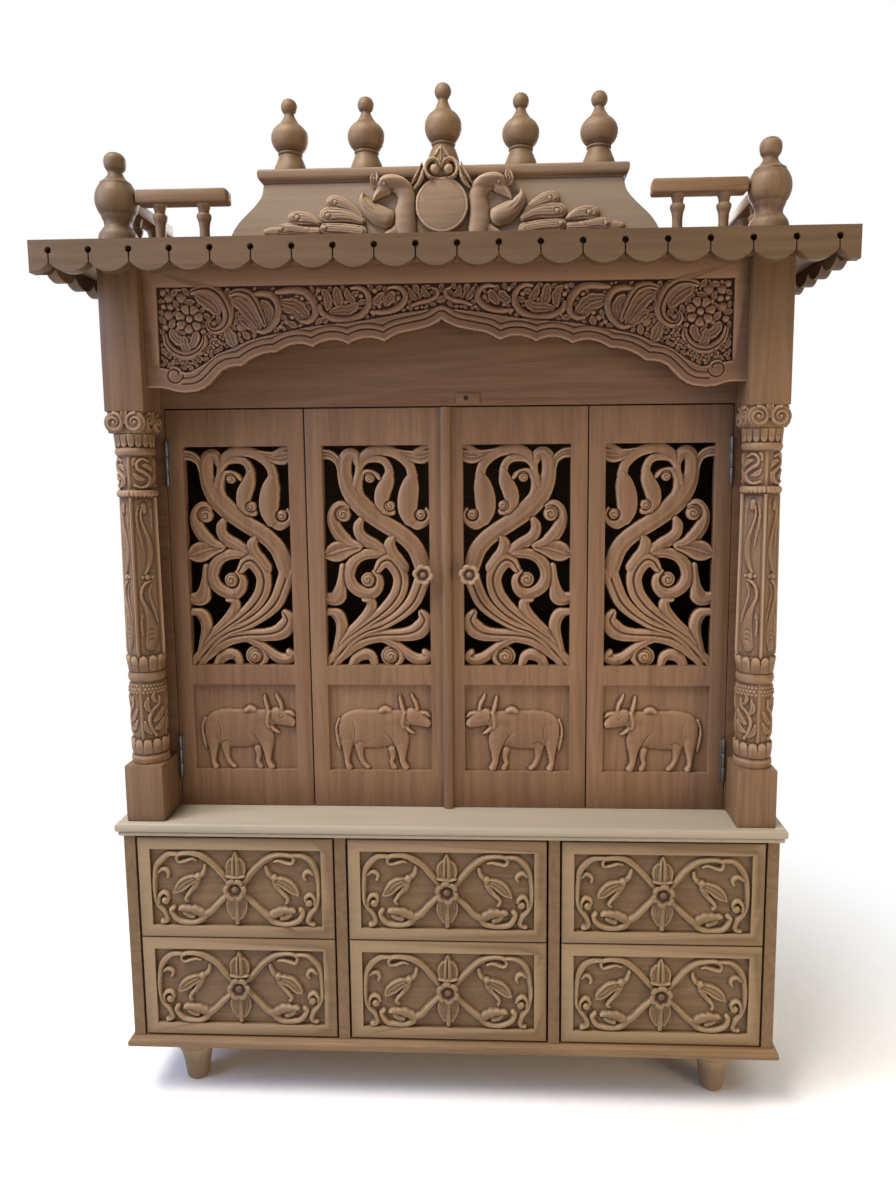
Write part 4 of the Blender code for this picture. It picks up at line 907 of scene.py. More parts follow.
COW_LINES = (
    [(62, 46, 0.9), (53, 51, 1.1), (45, 45, 1)],
    [(95, 68, 0.8), (104, 57, 1.2), (111, 44, 1.3), (115, 30, 1.1)],
    [(40, 84, 0.8), (44, 70, 1), (43, 56, 1)],
    [(134, 106, 0.8), (132, 97, 1), (134, 88, 1), (141, 81, 0.8)],
    [(159, 78, 0.8), (167, 76, 0.8)],
    [(117, 20, 0.9), (117.6, 12, 1.1), (120, 6, 0.9)],
)


def coil(centre, radius, width, turns=1.35, count=16):
    """A spiral line from the rim of a ball towards its middle."""
    return spiral(centre, count, lambda t: (2 * math.pi * turns * t + 0.6, radius * (1 - 0.78 * t), width))


def scrollwork(width, height):
    """The pierced scrollwork of a window, drawn from its lower left corner."""
    lines = (grid_lines(-2.5, width + 2.5, CARVE), grid_lines(-2.5, height + 2.5, CARVE))
    relief = Relief(*lines, pierced=True)
    for points, section, rise in STEMS:
        relief.stroke(points, rise, section, floor=7.5)
    relief.ball((107, 15), 17, 7.0, floor=7.5)
    for x, y, radius in BALLS:
        relief.ball((x, y), radius, 9.5, floor=8, moat=3.0)
        relief.groove(coil((x, y), 0.82 * radius, 1.0), 2.4)
    return relief


def cow_field(width, height):
    relief = Relief(grid_lines(-1.5, width + 1.5, COARSE), grid_lines(-1.5, height + 1.5, COARSE), rough=0.25)
    for points, rise in COW_BODY:
        relief.stroke(points, COW_SWELL * rise, domed)
    relief.height = np.where(relief.height > 0.6, blurred(relief.height, 1), relief.height)
    eye, nostril = (150, 94.6), (169, 84)
    relief.ball(eye, 2.6, 9.4, moat=1.4)
    relief.ball(nostril, 1.8, 8.3, moat=0.8)
    for line in COW_LINES:
        relief.groove(line, 1.3)
    return relief


def door_leaves():
    low, high = box_mm("door_leaf_inner_left")
    width, height = high[0] - low[0] - 2 * WINDOW[0], WINDOW[2] - WINDOW[1]
    counter = box_mm("counter_top")[1][2]
    scroll = scrollwork(width, height).mesh(facing(0, 0, 0), keep=0.42)
    cow = cow_field(width, COW_PANEL[1] - COW_PANEL[0]).mesh(facing(0, 0, 0), back=-4, keep=0.4)
    full, sunk = DOOR_THICKNESS, DOOR_THICKNESS - COW_PANEL[2]
    rail = [full] * 3
    levels = [rail, [full, sunk - 3, full], rail, [full, 0, full], rail]
    for side, part in (("outer", "left"), ("inner", "left"), ("inner", "right"), ("outer", "right")):
        node = f"door_leaf_{side}_{part}"
        (x0, _, z0), (x1, y1, z1) = box_mm(node)
        us = (x0, x0 + WINDOW[0], x1 - WINDOW[0], x1)
        vs = (z0, *(counter + z for z in (*COW_PANEL[:2], *WINDOW[1:])), z1)
        meshes = [stepped(us, vs, levels, y1)]
        for drawn, z, y in ((scroll, vs[3], y1), (cow, vs[1], y1 - sunk)):
            mesh = drawn.copy() if part == "left" else mirrored_copy(drawn, 0)
            x = us[1] if part == "left" else us[2]
            mesh.transform(Matrix.Translation((x * MM, y * MM, z * MM)))
            meshes.append(mesh)
        piece(f"leaf_{side}_{part}", joined(meshes), WOOD_Z, node)
    for part in ("left", "right"):
        node = f"door_knob_{part}"
        low, high = box_mm(node)
        x, _, z = middle_mm(node)
        knob = flower_knob((x, z), high[1], (high[2] - low[2]) / 2, high[1] - low[1])
        piece(f"knob_{part}", knob, WOOD_Z, node)


# Drawer fronts: left half, drawn from the middle of the front
FRONT_BORDER = 20.0
FRONT_SUNK = 6.0
FRONT_GROWTH = 1.6           # past each edge of the board behind it
FRONT_KNOB = 19.5
FRONT_BALLS = ((-64, 18, 6.4, 1.4), (-121, -25, 7.2, 1.6))          # across, up, radius, depth of its moat
VINE = (
    ([(-13, 10, 4.7), (-26, 25, 4.7), (-39, 40, 4.7), (-56, 53, 4.9), (-72, 58, 4.5), (-87, 58.5, 3.8),
      (-96, 55, 3.3), (-98, 49, 2.8), (-94, 43.5, 2.8), (-85, 45, 2.8), (-73, 49, 2.8),
      (-65, 47.5, 1.9)], ribbed, 6),
    ([(-95, 57, 3.3), (-112, 56, 4.2), (-125, 47, 4.7), (-133, 34, 4.7), (-137, 17, 4), (-138, -2, 3.6),
      (-137, -20, 3.3), (-132, -33, 3.6), (-124, -43, 4), (-119, -53, 4.3), (-121, -60, 4),
      (-127, -62, 4)], ribbed, 5.6),
    ([(-12, -10, 3.8), (-30, -27, 4.3), (-43, -41, 4.7), (-54, -49, 5), (-60, -56.5, 4.5), (-69, -61, 4),
      (-84, -62, 4), (-99, -59, 4), (-108, -51, 3.8), (-111, -42, 3.6), (-108, -37, 3.6)], rounded, 5.8),
    ([(-51, 38, 2.4), (-53.5, 28, 3.1), (-59, 20, 3.6)], rounded, 4.6),
    ([(-66, 15, 4), (-77, 12, 6.6), (-87, 6, 8.2), (-96, -2, 6.6), (-104, -9, 2)], cupped, 6),
    ([(-64, 13, 3.6), (-70, 4, 5.4), (-77, -6, 3.8), (-84, -15, 2.8), (-86, -21, 2.6),
      (-83, -25, 1.9)], rounded, 5),
    ([(-130, 25, 2.4), (-124, 30, 3.1), (-117, 28.5, 3.3), (-113.5, 22, 2.8),
      (-116, 16, 1.9)], rounded, 4.6),
    ([(-131, -28, 2.4), (-131.5, -19, 2.9), (-125, -11, 3.3), (-117.5, -13, 3.3),
      (-114.5, -21, 2.4)], rounded, 5),
)
CRADLE = (
    ([(-58, -47, 6.4), (-69, -42, 7.4), (-80, -39, 6.2), (-92, -38, 5), (-97, -39, 3)], 5.6, 4),
    ([(-89, -45, 4.5), (-83, -49.5, 4.8), (-75, -52, 4.5)], 4.6, 3),
)
CROWN_LEAVES = (
    ([(-6, 20, 6.6), (-9.5, 30, 7), (-10, 40, 5.4), (-7, 49, 2)], cupped, 5.4),
    ([(0, 18, 7.4), (0, 32, 7.6), (0, 46, 6.6), (0, 56, 3.6), (0, 62, 1.4)], furrowed, 7.0),
    ([(-14, 21, 2.6), (-7, 19.4, 3), (0, 19, 3.2)], rounded, 8.0),
    ([(-7, -16, 6), (-11.5, -28, 6.4), (-10.5, -42, 4.6), (-6.5, -54, 1.6)], cupped, 5.4),
    ([(0, -18, 6.4), (0.5, -32, 6.2), (1, -48, 4.8), (1.5, -63, 1.4)], ribbed, 6.6),
)
# How much wider and higher each of the three is carved than drawn
VINE_SWELL, CRADLE_SWELL, LEAF_SWELL = (1.24, 1.3), (1.15, 1.3), (1.14, 1.2)


def front_relief(width, height, seed):
    """The carved face of a drawer, drawn from its middle, its hand-cut lines a little different on each."""
    half_u, half_v = width / 2, height / 2
    inner_u, inner_v = half_u - FRONT_BORDER, half_v - FRONT_BORDER
    relief = Relief(grid_lines(-half_u, half_u, COARSE, (-inner_u, inner_u)),
                    grid_lines(-half_v, half_v, COARSE, (-inner_v, inner_v)), seed=seed, rough=0.32)
    hand = np.random.default_rng(seed)
    for mirror in (1, -1):
        drift = hand.normal(0, 0.7, 2)

        def at(x, y):
            return mirror * x + drift[0], y + drift[1]

        def drawn(points, wider):
            wander = hand.normal(0, 0.45, (len(points), 2))
            return [(mirror * x + drift[0] + w[0], y + drift[1] + w[1], wider * r)
                    for (x, y, r), w in zip(points, wander)]

        for points, section, rise in VINE:
            relief.stroke(drawn(points, VINE_SWELL[0]), VINE_SWELL[1] * rise, section)
        for points, rise, lobes in CRADLE:
            relief.stroke(drawn(points, CRADLE_SWELL[0]), CRADLE_SWELL[1] * rise, domed, lobes=lobes)
        for x, y, radius, moat in FRONT_BALLS:
            relief.ball(at(x, y), radius, 7.4, moat=moat)
        for points, section, rise in CROWN_LEAVES:
            relief.stroke(reflected(points, mirror, LEAF_SWELL[0]), LEAF_SWELL[1] * rise, section)
        relief.groove([(*at(-76, 2), 1.6), (*at(-82, -5), 2.2)], 4.5)
    across, up = np.abs(relief.u), np.abs(relief.v)
    relief.height = np.where((across > inner_u) | (up > inner_v), FRONT_SUNK, relief.height)
    relief.height -= np.where(np.minimum(half_u - across, half_v - up) < 0.5, 1.2, 0.0)
    return relief


def drawer_fronts():
    sunk_plane = FRONT + FRONT_SUNK
    for row in ("bottom", "top"):
        for index, column in enumerate(("left", "middle", "right")):
            node = f"drawer_front_{row}_{column}"
            low, high = box_mm(node)
            x, _, z = middle_mm(node)
            width, height = high[0] - low[0] + 2 * FRONT_GROWTH, high[2] - low[2] + 2 * FRONT_GROWTH
            relief = front_relief(width, height, seed=10 * index + (row == "top"))
            # The drawers' hollows take half the painted shade
            face = relief.mesh(facing(x, z, sunk_plane), back=sunk_plane - high[1], keep=0.42, hollow_shade=0.5)
            knob = flower_knob((x, z), sunk_plane + 2, FRONT_KNOB, sunk_plane + 2 - low[1], turn=0.35 * index)
            piece(f"front_{row}_{column}", joined([face, knob]), WOOD_X, node, f"drawer_{row}_{column}")


# Turned pieces: radius and height in millimetres, with a third number at a crisp corner
CROWN_TURNING = [
    (27, 0, 1), (27.4, 3), (26.6, 9), (24.6, 16), (21.6, 23), (19, 29.4), (17.6, 32.6, 1), (19.2, 34),
    (19.6, 36), (18, 37.8, 1), (21.4, 41), (26, 46.6), (28.8, 53), (29.6, 59), (28.8, 65.4), (25.8, 71.6),
    (21, 77), (17, 79.8, 1), (15.8, 80.8), (14, 83.6), (11.4, 87.4), (9, 91.8), (7.8, 95.6), (7.9, 97.4, 1),
    (10.8, 100.4), (12.6, 105), (12.8, 109), (11.4, 113.6), (8.6, 117.4), (4.4, 119.6), (0, 120),
]
MIDDLE_TURNING = [
    (26.5, 0, 1), (26.8, 5), (26.2, 14), (24.4, 24), (21.6, 32.4), (18.6, 38.6), (17.2, 42, 1),
    (18.8, 43.6), (19.4, 45.4), (17.8, 47.2, 1), (20.6, 50), (25.4, 56.4), (28.6, 64.4), (29.4, 72),
    (28.2, 80), (24.6, 87), (20.4, 91.6), (16.6, 93.8, 1), (15.4, 94.8), (13.4, 98), (10.8, 103),
    (8.8, 108), (7.9, 112), (8, 114, 1), (11, 117.4), (13, 122), (13.2, 126.4), (11.6, 131.4), (8.8, 135.2),
    (4.4, 137.6), (0, 138),
]
CORNER_TURNING = [
    (29, 0, 1), (29.2, 3), (28.4, 9), (26.8, 15), (23.4, 20), (21, 23.4, 1), (19.6, 26), (19.6, 30.5),
    (20.6, 34), (22.4, 38), (24, 42.6, 1), (27.4, 48), (30.2, 56), (31, 64), (29.6, 73), (26.4, 80),
    (23.2, 85, 1), (22.6, 87.4), (19, 90), (14.6, 94), (11.4, 99), (10.6, 103), (12, 105.6, 1), (14.8, 110),
    (15.9, 117), (14.6, 124), (9.6, 129.4), (4, 130.8), (0, 131),
]
BALUSTER = [
    (9, 0, 1), (9.2, 3), (7.8, 8, 1), (7.3, 14), (7.4, 22), (8.4, 30), (10.4, 36, 1), (10.8, 38.5),
    (10.4, 41, 1), (7.8, 44), (8.4, 49), (10.4, 56),
]
FOOT = [
    (15.5, 0), (18.4, 3), (19.8, 8), (21.5, 22), (24.4, 40), (28.4, 54), (31.5, 62), (32.6, 67, 1),
    (34.6, 71), (35, 80), (34.6, 92), (34, 98, 1),
]


def turned_piece(name, node, profile, foot=None, stretched=False):
    """A turned piece on a node's own axis, from its lower end up, and as high as the node if stretched."""
    low, high = box_mm(node)
    x, y, _ = middle_mm(node)
    stretch = (high[2] - low[2]) / profile[-1][1] if stretched else 1
    shape = [(radius, height * stretch, *rest) for radius, height, *rest in profile]
    piece(name, turned(shape, (x, y, low[2] if foot is None else foot)), WOOD_Z, node)


def turnings():
    for k in range(1, 6):
        profile = MIDDLE_TURNING if k == 3 else CROWN_TURNING
        turned_piece(f"finial_{k}", f"crown_finial_{k}", profile, stretched=True)
    for part in ("left", "right"):
        turned_piece(f"corner_{part}", f"corner_finial_{part}", CORNER_TURNING)
        for end in ("front", "back"):
            turned_piece(f"turned_foot_{end}_{part}", f"foot_{end}_{part}", FOOT, foot=0)


RAIL_THICKNESS = 20
BALUSTER_PLACES = (64, 130)  # from the axis of the corner finial


def balustrades():
    roof = box_mm("roof_board")[1][2]
    for part, sign in (("left", -1), ("right", 1)):
        x, y, _ = middle_mm(f"corner_finial_{part}")
        for run, material in (("front", WOOD_X), ("side", WOOD_Y)):
            node = f"balustrade_{run}_{part}"
            low, high = box_mm(node)
            meshes = [block((low[0], low[1], high[2] - RAIL_THICKNESS), high, 4)]
            for gap in BALUSTER_PLACES:
                place = (x - sign * gap, y) if run == "front" else (x, y + gap)
                meshes.append(turned(BALUSTER, (*place, roof + SEAT), segments=32))
            obj = piece(f"rail_{run}_{part}", joined(meshes, (0, 1, 1)), material, node)
            obj.data.materials.append(WOOD_Z)


# Arch panel: right half, across from the middle and up from the roof's underside
ARCH_THICKNESS = 20.0
ARCH_SUNK = 8.0
ARCH_SIDE = 22               # plain strip at each end
ARCH_CEILING = -29           # top of the carved field
ARCH_END = -182              # lower edge at the pillars
ARCH_SWELL = (1.12, 1.1)     # how much wider and higher it is carved than drawn
GROOVED_TO = 408             # how far across the grooves along the foils run
ARCH_EDGE = [(0, -83), (10, -89.5), (24, -95), (45, -99.5), (70, -105), (89, -115.5)]
ARCH_FOILS = ((89, -115.5, 8), (145, -118.5, 8.5), (200, -122, 8.5), (258, -130, 6), (312, -149, 0))
ARCH_TAIL = [
    (312, -149), (323, -149.5), (334, -151), (342, -155), (348, -160), (354, -166), (360, -172),
    (367, -178.5), (374, -183), (383, -187), (392, -188.5), (404, -189), (415, -188.5), (425, -186),
    (433, -183), (443, -182),
]
ARCH_FIELD = [
    (0, -61), (20, -68), (60, -73), (100, -80), (145, -86), (200, -91), (262, -102), (300, -111),
    (325, -122), (350, -131), (372, -146), (385, -153), (400, -158), (443, -150),
]
VOLUTE = (419.5, -162.0)
ROSETTE = (393, -77, 22)
ARCH_STROKES = (
    ([(386, -36, 5), (374, -32.5, 7.5), (358, -33.5, 8.8), (344.5, -42.5, 9.4), (336, -56.5, 8.8),
      (332, -72, 8.2), (336.5, -86, 7.5), (347, -94, 6.3), (358, -94, 5), (364, -86, 4),
      (361, -78, 3)], furrowed, 7.4, 0),
    ([(378, -42.5, 6.9), (367, -48.5, 10.7), (356, -56.5, 10.7), (348, -67, 6.3)], cupped, 6.2, 3),
    ([(432.5, -102, 3.8), (429.5, -115, 5), (420, -126, 6.3), (406, -132.5, 7), (391, -131.5, 7),
      (378, -124, 6.3), (370.5, -112, 5), (370.5, -103, 3.2)], furrowed, 6.8, 0),
    ([(421, -96, 6.3), (416, -105.5, 8.2), (406, -112, 7)], cupped, 6, 2),
    ([(402.5, -105.5, 5), (401, -118, 7.6), (396.5, -124, 6.3)], cupped, 6, 2),
    ([(383, -100, 6.3), (386, -110.5, 7), (392, -118.5, 4.4)], cupped, 5.6, 2),
    ([(336, -91.5, 3.8), (330.5, -100.5, 8.2), (326.5, -111, 8.8), (323, -119.5, 3.2)], cupped, 6, 3),
    ([(331.5, -34, 4.4), (330, -46.5, 6.3), (328, -61.5, 5), (324.5, -70.5, 2.5)], cupped, 5.6, 4),
    ([(326.5, -40.5, 4.4), (314.5, -37.5, 6.3), (299, -41.5, 8), (289.5, -53, 7), (283, -66.5, 6.3),
      (278, -78.5, 5), (274.5, -89, 3)], furrowed, 7, 0),
    ([(321, -49.5, 5.6), (310.5, -55.5, 10.6), (300, -66.5, 10.6), (291, -80, 8.8),
      (283, -92, 5)], cupped, 5.8, 4),
    ([(313, -75, 4.4), (303.5, -81.5, 8.2), (294, -90.5, 6.3), (285.5, -97, 3)], cupped, 6, 3),
    ([(289.5, -41.5, 3.7), (277, -39.5, 5), (263.5, -42.5, 5.6), (255, -52.5, 5.6), (253, -65.5, 5.3),
      (256.5, -79.5, 5.3), (265, -91, 5), (276, -97.5, 4.4), (285.5, -97, 3)], rounded, 6.8, 0),
    ([(277.5, -53, 5), (268.5, -62.5, 8), (267, -74.5, 7.5), (272.5, -85.5, 4.4)], cupped, 5.6, 3),
    ([(254.5, -38.5, 3.7), (242, -36.5, 5), (226.5, -35.5, 5.6), (211.5, -39, 6.2), (201, -49, 6.2),
      (195, -63, 5.6), (197.5, -76, 5), (207, -83, 4.4), (217.5, -83, 3)], rounded, 6.8, 0),
    ([(249.5, -53.5, 3.7), (237, -54.5, 7.5), (224.5, -57, 8.7), (214.5, -66, 8),
      (206.5, -76, 4.4)], cupped, 5.8, 4),
    ([(246, -62.5, 3), (237, -65, 5.6), (229.5, -67.5, 6), (222, -76, 5), (214, -80, 3)], cupped, 5, 3),
    ([(188.5, -60, 3.7), (185.5, -69.5, 4.7), (175, -76.5, 5), (159.5, -80.5, 5.3), (141.5, -80.5, 5.3),
      (125, -75, 5.3), (114.5, -64, 5.3), (111.5, -50.5, 4.9), (117.5, -38.5, 4.3), (128, -33.5, 3.7),
      (138.5, -34.5, 2.5)], rounded, 6.8, 0),
    ([(183.5, -36.5, 3), (176.5, -45, 6.8), (174.5, -56.5, 6.2), (176.5, -66, 3)], cupped, 6, 3),
    ([(162, -35, 5), (160, -47, 8), (158, -58, 7.4)], cupped, 6.2, 2),
    ([(172, -69.5, 3), (158, -67, 8), (141, -66, 8), (130.5, -58.5, 4.3)], cupped, 5.6, 4),
    ([(146, -36, 3), (144, -46, 6), (136, -54, 5)], cupped, 5.2, 2),
    ([(107.5, -70.5, 3), (94.5, -71, 4.3), (79.5, -69.5, 4.9), (64.5, -62.5, 5.2), (55.5, -50.5, 4.9),
      (58, -39.5, 4.3), (69, -33.5, 3.7), (80.5, -34.5, 2.5)], rounded, 6.6, 0),
    ([(103.5, -56, 4.9), (95.5, -51.5, 8), (91, -44, 4.9)], cupped, 6, 2),
    ([(86, -59, 4.3), (79, -50, 7.4), (74.5, -42, 3.7)], cupped, 6, 3),
    ([(45, -61.5, 2.5), (33, -57, 3.7), (19, -54, 4), (8, -48, 3.7), (6.5, -39.5, 3),
      (14, -35.5, 2.2)], rounded, 6, 0),
    ([(50, -36, 2.4), (46, -45, 5), (40, -52, 4)], cupped, 5.6, 2),
    ([(28, -34, 2.4), (27, -42, 5), (20, -47, 4)], cupped, 5.6, 2),
)
# Small lobed leaves and buds that fill the field: across, up, radius
ARCH_BUDS = (
    (425, -44.5, 8), (405, -44.5, 8.6), (426, -70.5, 8), (434, -36, 6), (423, -57.5, 5.6), (434, -57, 4.5),
    (355, -84, 6.3), (312, -90, 8.4), (410, -62, 4.5), (412, -92, 5), (432, -88, 6), (372, -96, 5),
    (345, -30.5, 3.5), (306, -33, 4), (232, -76, 4), (240, -83, 5), (250, -90, 4.5), (188, -47, 5),
    (190, -36, 5), (148, -55, 4.5), (124, -46, 4.4), (103, -38, 5), (113, -30.5, 2), (66, -50, 5),
    (96, -62, 4), (52, -64, 3), (30, -64, 3), (216, -48, 4), (182, -78, 3.4), (105, -74, 3),
)
ARCH_SPRIGS = (
    (358, -103.5, 6), (352, -112.5, 6.6), (342, -104, 5.5), (370, -127, 6), (361, -121, 6.4),
    (380, -138, 6), (399, -145, 5.6), (389, -143, 4.6), (416.5, -139.5, 6.4), (428, -131, 6),
    (434, -141, 4.6), (336, -117, 4.5), (408, -143, 4), (345, -122, 4),
)


def foil(start, end, rise, count=9):
    """Points on an arc from start to end, bulging up, without the last one."""
    (x0, z0), (x1, z1) = start, end
    t = np.arange(count) / count
    bulge = rise * 4 * t * (1 - t)
    return [(x0 + (x1 - x0) * k, z0 + (z1 - z0) * k + b) for k, b in zip(t, bulge)]


def arch_edge_line():
    """Lower edge of the arch's right half, as points from the middle outwards."""
    points = sampled_line(ARCH_EDGE, 2)[:-1]
    for (x0, z0, rise), (x1, z1, _) in zip(ARCH_FOILS, ARCH_FOILS[1:]):
        points += foil((x0, z0), (x1, z1), rise)
    return points + ARCH_TAIL


def level_under(us, line):
    """Height of a line of points at each place across it."""
    xs, zs = np.array(line, float).T
    return np.interp(np.abs(us), xs, zs)


def distance_to(u, v, line):
    """Distance from each point of a grid to a line of points."""
    best = np.full(u.shape, 999.0)
    for (x0, z0), (x1, z1) in zip(line, line[1:]):
        dx, dz = x1 - x0, z1 - z0
        t = unit(((u - x0) * dx + (v - z0) * dz) / max(dx ** 2 + dz ** 2, 1e-9))
        best = np.minimum(best, np.hypot(u - x0 - t * dx, v - z0 - t * dz))
    return best


def filled(relief, inside, smallest, largest, rise):
    """Fills what is left of a field with small leaves, the largest gap first."""
    left = inside & (relief.height < 1.0)
    away = np.zeros(left.shape)
    for _ in range(int(largest / CARVE) + 2):
        away += left * CARVE
        shrunk = left.copy()
        shrunk[1:] &= left[:-1]
        shrunk[:-1] &= left[1:]
        shrunk[:, 1:] &= left[:, :-1]
        shrunk[:, :-1] &= left[:, 1:]
        left = shrunk
    turn = 0.0
    while away.max() >= smallest:
        j, i = np.unravel_index(np.argmax(away), away.shape)
        x, y = relief.u[j, i], relief.v[j, i]
        radius = min(away[j, i], largest)
        turn += 2.4
        dx, dy = radius * math.cos(turn), radius * math.sin(turn)
        leaf = [(x - dx, y - dy, radius * 0.3), (x, y, radius * 0.8), (x + dx, y + dy, radius * 0.2)]
        relief.stroke(leaf, rise * (0.6 + 0.4 * radius / largest), cupped)
        away = np.minimum(away, np.hypot(relief.u - x, relief.v - y) - radius)


def arch_plain(across, up, far, border):
    """Level of the arch outside its field: grooves along the foils, a bead, and a volute at the end."""
    plain = np.full(across.shape, ARCH_SUNK)
    plain -= 1.0 * swell(border, 0, 1.6)
    for place, depth in ((12.6, 2.4), (21.6, 1.8)):
        plain -= depth * swell(far, place, 1.1) * (across < GROOVED_TO)
    plain += 0.9 * half_round((far - 17.1) / 3.4) * (across < GROOVED_TO)
    plain -= 1.6 * unit(1 - far / 4.5) ** 2
    ring = np.hypot(across - VOLUTE[0], up - VOLUTE[1])
    turn = np.arctan2(up - VOLUTE[1], across - VOLUTE[0])
    spiral_line = np.abs(ring - 10.5 + 1.1 * turn)
    plain = np.where(ring < 15, plain - 2.6 * swell(spiral_line, 0, 1.0), plain)
    return np.where(ring < 8.5, plain + 1.2 * half_round(ring / 8.5), plain)


def arch():
    node = "arch_panel"
    low, high = box_mm(node)
    half = (high[0] - low[0]) / 2
    top = box_mm("roof_board")[0][2]
    inner = half - ARCH_SIDE
    relief = Relief(grid_lines(-half, half, CARVE, (-inner, inner, half - 1, 1 - half)),
                    grid_lines(low[2] - top - 1.5, high[2] - top, CARVE, (ARCH_CEILING,)), rough=0.3)
    across, up = np.abs(relief.u), relief.v
    line = arch_edge_line() + [(half, ARCH_END)]
    far = distance_to(across, up, line)
    relief.pierced = True
    depth = np.where(up > level_under(relief.u, line), far, -far)
    relief.gap = np.where(depth > 0, 99.0, depth)
    field = sampled_line(ARCH_FIELD, 2)
    field_line = level_under(relief.u, field)
    in_field = (up > field_line) & (across < inner) & (up < ARCH_CEILING)
    in_field &= np.hypot(across - VOLUTE[0], up - VOLUTE[1]) > 13
    for mirror in (1, -1):
        for points, section, rise, lobes in ARCH_STROKES:
            drawn = reflected(points, mirror, ARCH_SWELL[0])
            relief.stroke(drawn, ARCH_SWELL[1] * rise, section, lobes=lobes, depth=0.30)
        for x, y, radius in ARCH_BUDS:
            relief.ball((mirror * x, y), radius, 5.6, moat=1.0)
        for x, y, radius in ARCH_SPRIGS:
            relief.flower((mirror * x, y), radius, 5.4, petals=4, turn=0.6)
        relief.flower((mirror * ROSETTE[0], ROSETTE[1]), ROSETTE[2], 8.2, petals=7)
    inside_field = (up > field_line + 2) & (across < inner - 1) & (up < ARCH_CEILING - 1)
    filled(relief, inside_field, 2.6, 7.0, 5.2)
    relief.gap = np.minimum(depth, 99)
    plain = arch_plain(across, up, far, distance_to(across, up, field))
    relief.height = np.where(in_field, relief.height, plain)
    low_y = high[1] - ARCH_THICKNESS + ARCH_SUNK
    mesh = relief.mesh(facing(0, top, low_y), back=low_y - high[1], keep=0.34)
    piece("arch", joined([mesh]), WOOD_X, node)


# Crest: right half, from the medallion's centre
MEDALLION = 41.0
CREST_UP = 73                # medallion's centre above the roof board
CREST_HALF = 290
CREST_FLOOR = 0.6
FEATHER_SWELL = 1.1          # how much wider the feathers are carved than drawn
FEATHERS = (
    ([(127, -13, 3), (137.6, -3, 5.9), (149, 3.3, 8.1), (161, 7.9, 9.8), (170, 10, 9.8),
      (175, 10, 6.6)], 5.6),
    ([(261, -32.2, 6), (270.5, -32.6, 6), (278, -33, 4.6)], 3.2),
    ([(196, -33.4, 5.3), (209.6, -33, 5.6), (225, -31.6, 6.6), (238.6, -29, 8), (250.5, -29.9, 8.2),
      (256, -30.4, 6)], 5.0),
    ([(194.7, -21, 3.3), (203.8, -17, 6.6), (214, -14.2, 9.2), (227.5, -13.3, 9.9), (235, -13, 8.2)], 5.4),
    ([(126, -20, 5.3), (140.5, -13.6, 7.9), (156, -10.6, 9.9), (169, -10.2, 11), (180, -10, 11.2),
      (186, -9.8, 6.6)], 7.4),
    ([(128, -36, 9), (156.7, -32, 9), (176.5, -31, 8.8), (185, -30, 7.3)], 8.2),
)
FEATHER_EYES = ((167, 8.7, 3.6), (178.6, -11, 4), (184, -29.8, 3.6), (228, -13.3, 4), (254, -29.8, 3.6))
BIRD = (
    ([(57, -40, 17), (58.4, -26, 18), (58.4, -13.5, 17.4), (56.4, -1, 15.6), (55.4, 11.3, 14.6),
      (57.6, 21.6, 14.4), (65, 30, 13.4), (75.4, 34.6, 12.4), (85.6, 34, 12),
      (92, 29.6, 10.6)], rounded, 11.6),
    ([(89, 28, 11.6), (96.6, 21.4, 8.4), (103, 14.6, 5), (107.4, 8, 1.6)], rounded, 12.4),
    ([(70, -34, 10), (76, -38, 9), (88, -42, 5)], domed, 8.0),
    ([(87.8, -16.7, 15.6), (98, -12.7, 16.4), (109.8, -5, 13.6), (118.6, 4, 9.8), (123.6, 12.7, 5.8),
      (121.7, 21, 1)], domed, 13.2),
    ([(101.3, 28.4, 2.6), (105, 34.7, 5.8), (103.6, 42, 6.4), (101.5, 49, 2.4)], cupped, 9.0),
)
BIRD_EYE = (88.5, 31, 3.2)
BIRD_LINES = (
    [(128, 8, 0.8), (119.6, -3, 1), (109.6, -11.6, 0.8)],
    [(123, 16, 0.8), (115.4, 2.6, 1), (105.6, -6.6, 0.8)],
    [(117, 16, 0.7), (108.6, 6, 0.9), (100, 0, 0.7)],
    [(94, 21, 0.8), (99, 15.4, 0.8), (104.6, 12, 0.6)],
    [(74.6, -20, 1.1), (73.6, -10, 1.1), (80.6, 1, 1.2), (92, 6.6, 1.2), (104, 6, 1)],
    [(74.6, -20, 1.1), (79, -29, 1.1), (88, -34, 1)],
    [(74, 26, 0.8), (80, 25, 0.9), (84, 22, 0.8)],
)
CREST_TOP = (
    ([(2, 40, 1.8), (11.4, 39, 2.3), (19.6, 41.8, 2.7), (24, 48.3, 3), (24.5, 56, 3.2), (21.3, 63, 3.2),
      (15, 67.2, 3.1), (8, 66, 2.8), (3, 61.5, 2.3), (1.4, 56.6, 1.6)], rounded, 10.4),
    ([(30.4, 62, 1), (35.4, 50.5, 2), (40.7, 41.3, 2.4), (46, 33, 1.4)], rounded, 7.6),
    ([(23, 63, 1.6), (28, 50.3, 2.9), (31, 40.6, 3.3), (35.4, 33, 3), (43, 26.4, 2.4)], rounded, 9.0),
    ([(33, 47, 3), (35, 39, 3), (40, 31.6, 2)], cupped, 5.0),
)
CREST_BUD = (10.6, 53, 7.6)
HOOD = (
    ([(0, 86, 1.4), (0, 79, 7), (0, 72, 11), (0, 66, 12)], domed, 8.4),
    ([(0, 85, 1), (0, 74, 1.8), (0, 64, 2)], rounded, 10.4),
    ([(3, 81, 1.2), (7, 74, 1.8), (11, 70, 1.4)], rounded, 10.0),
)


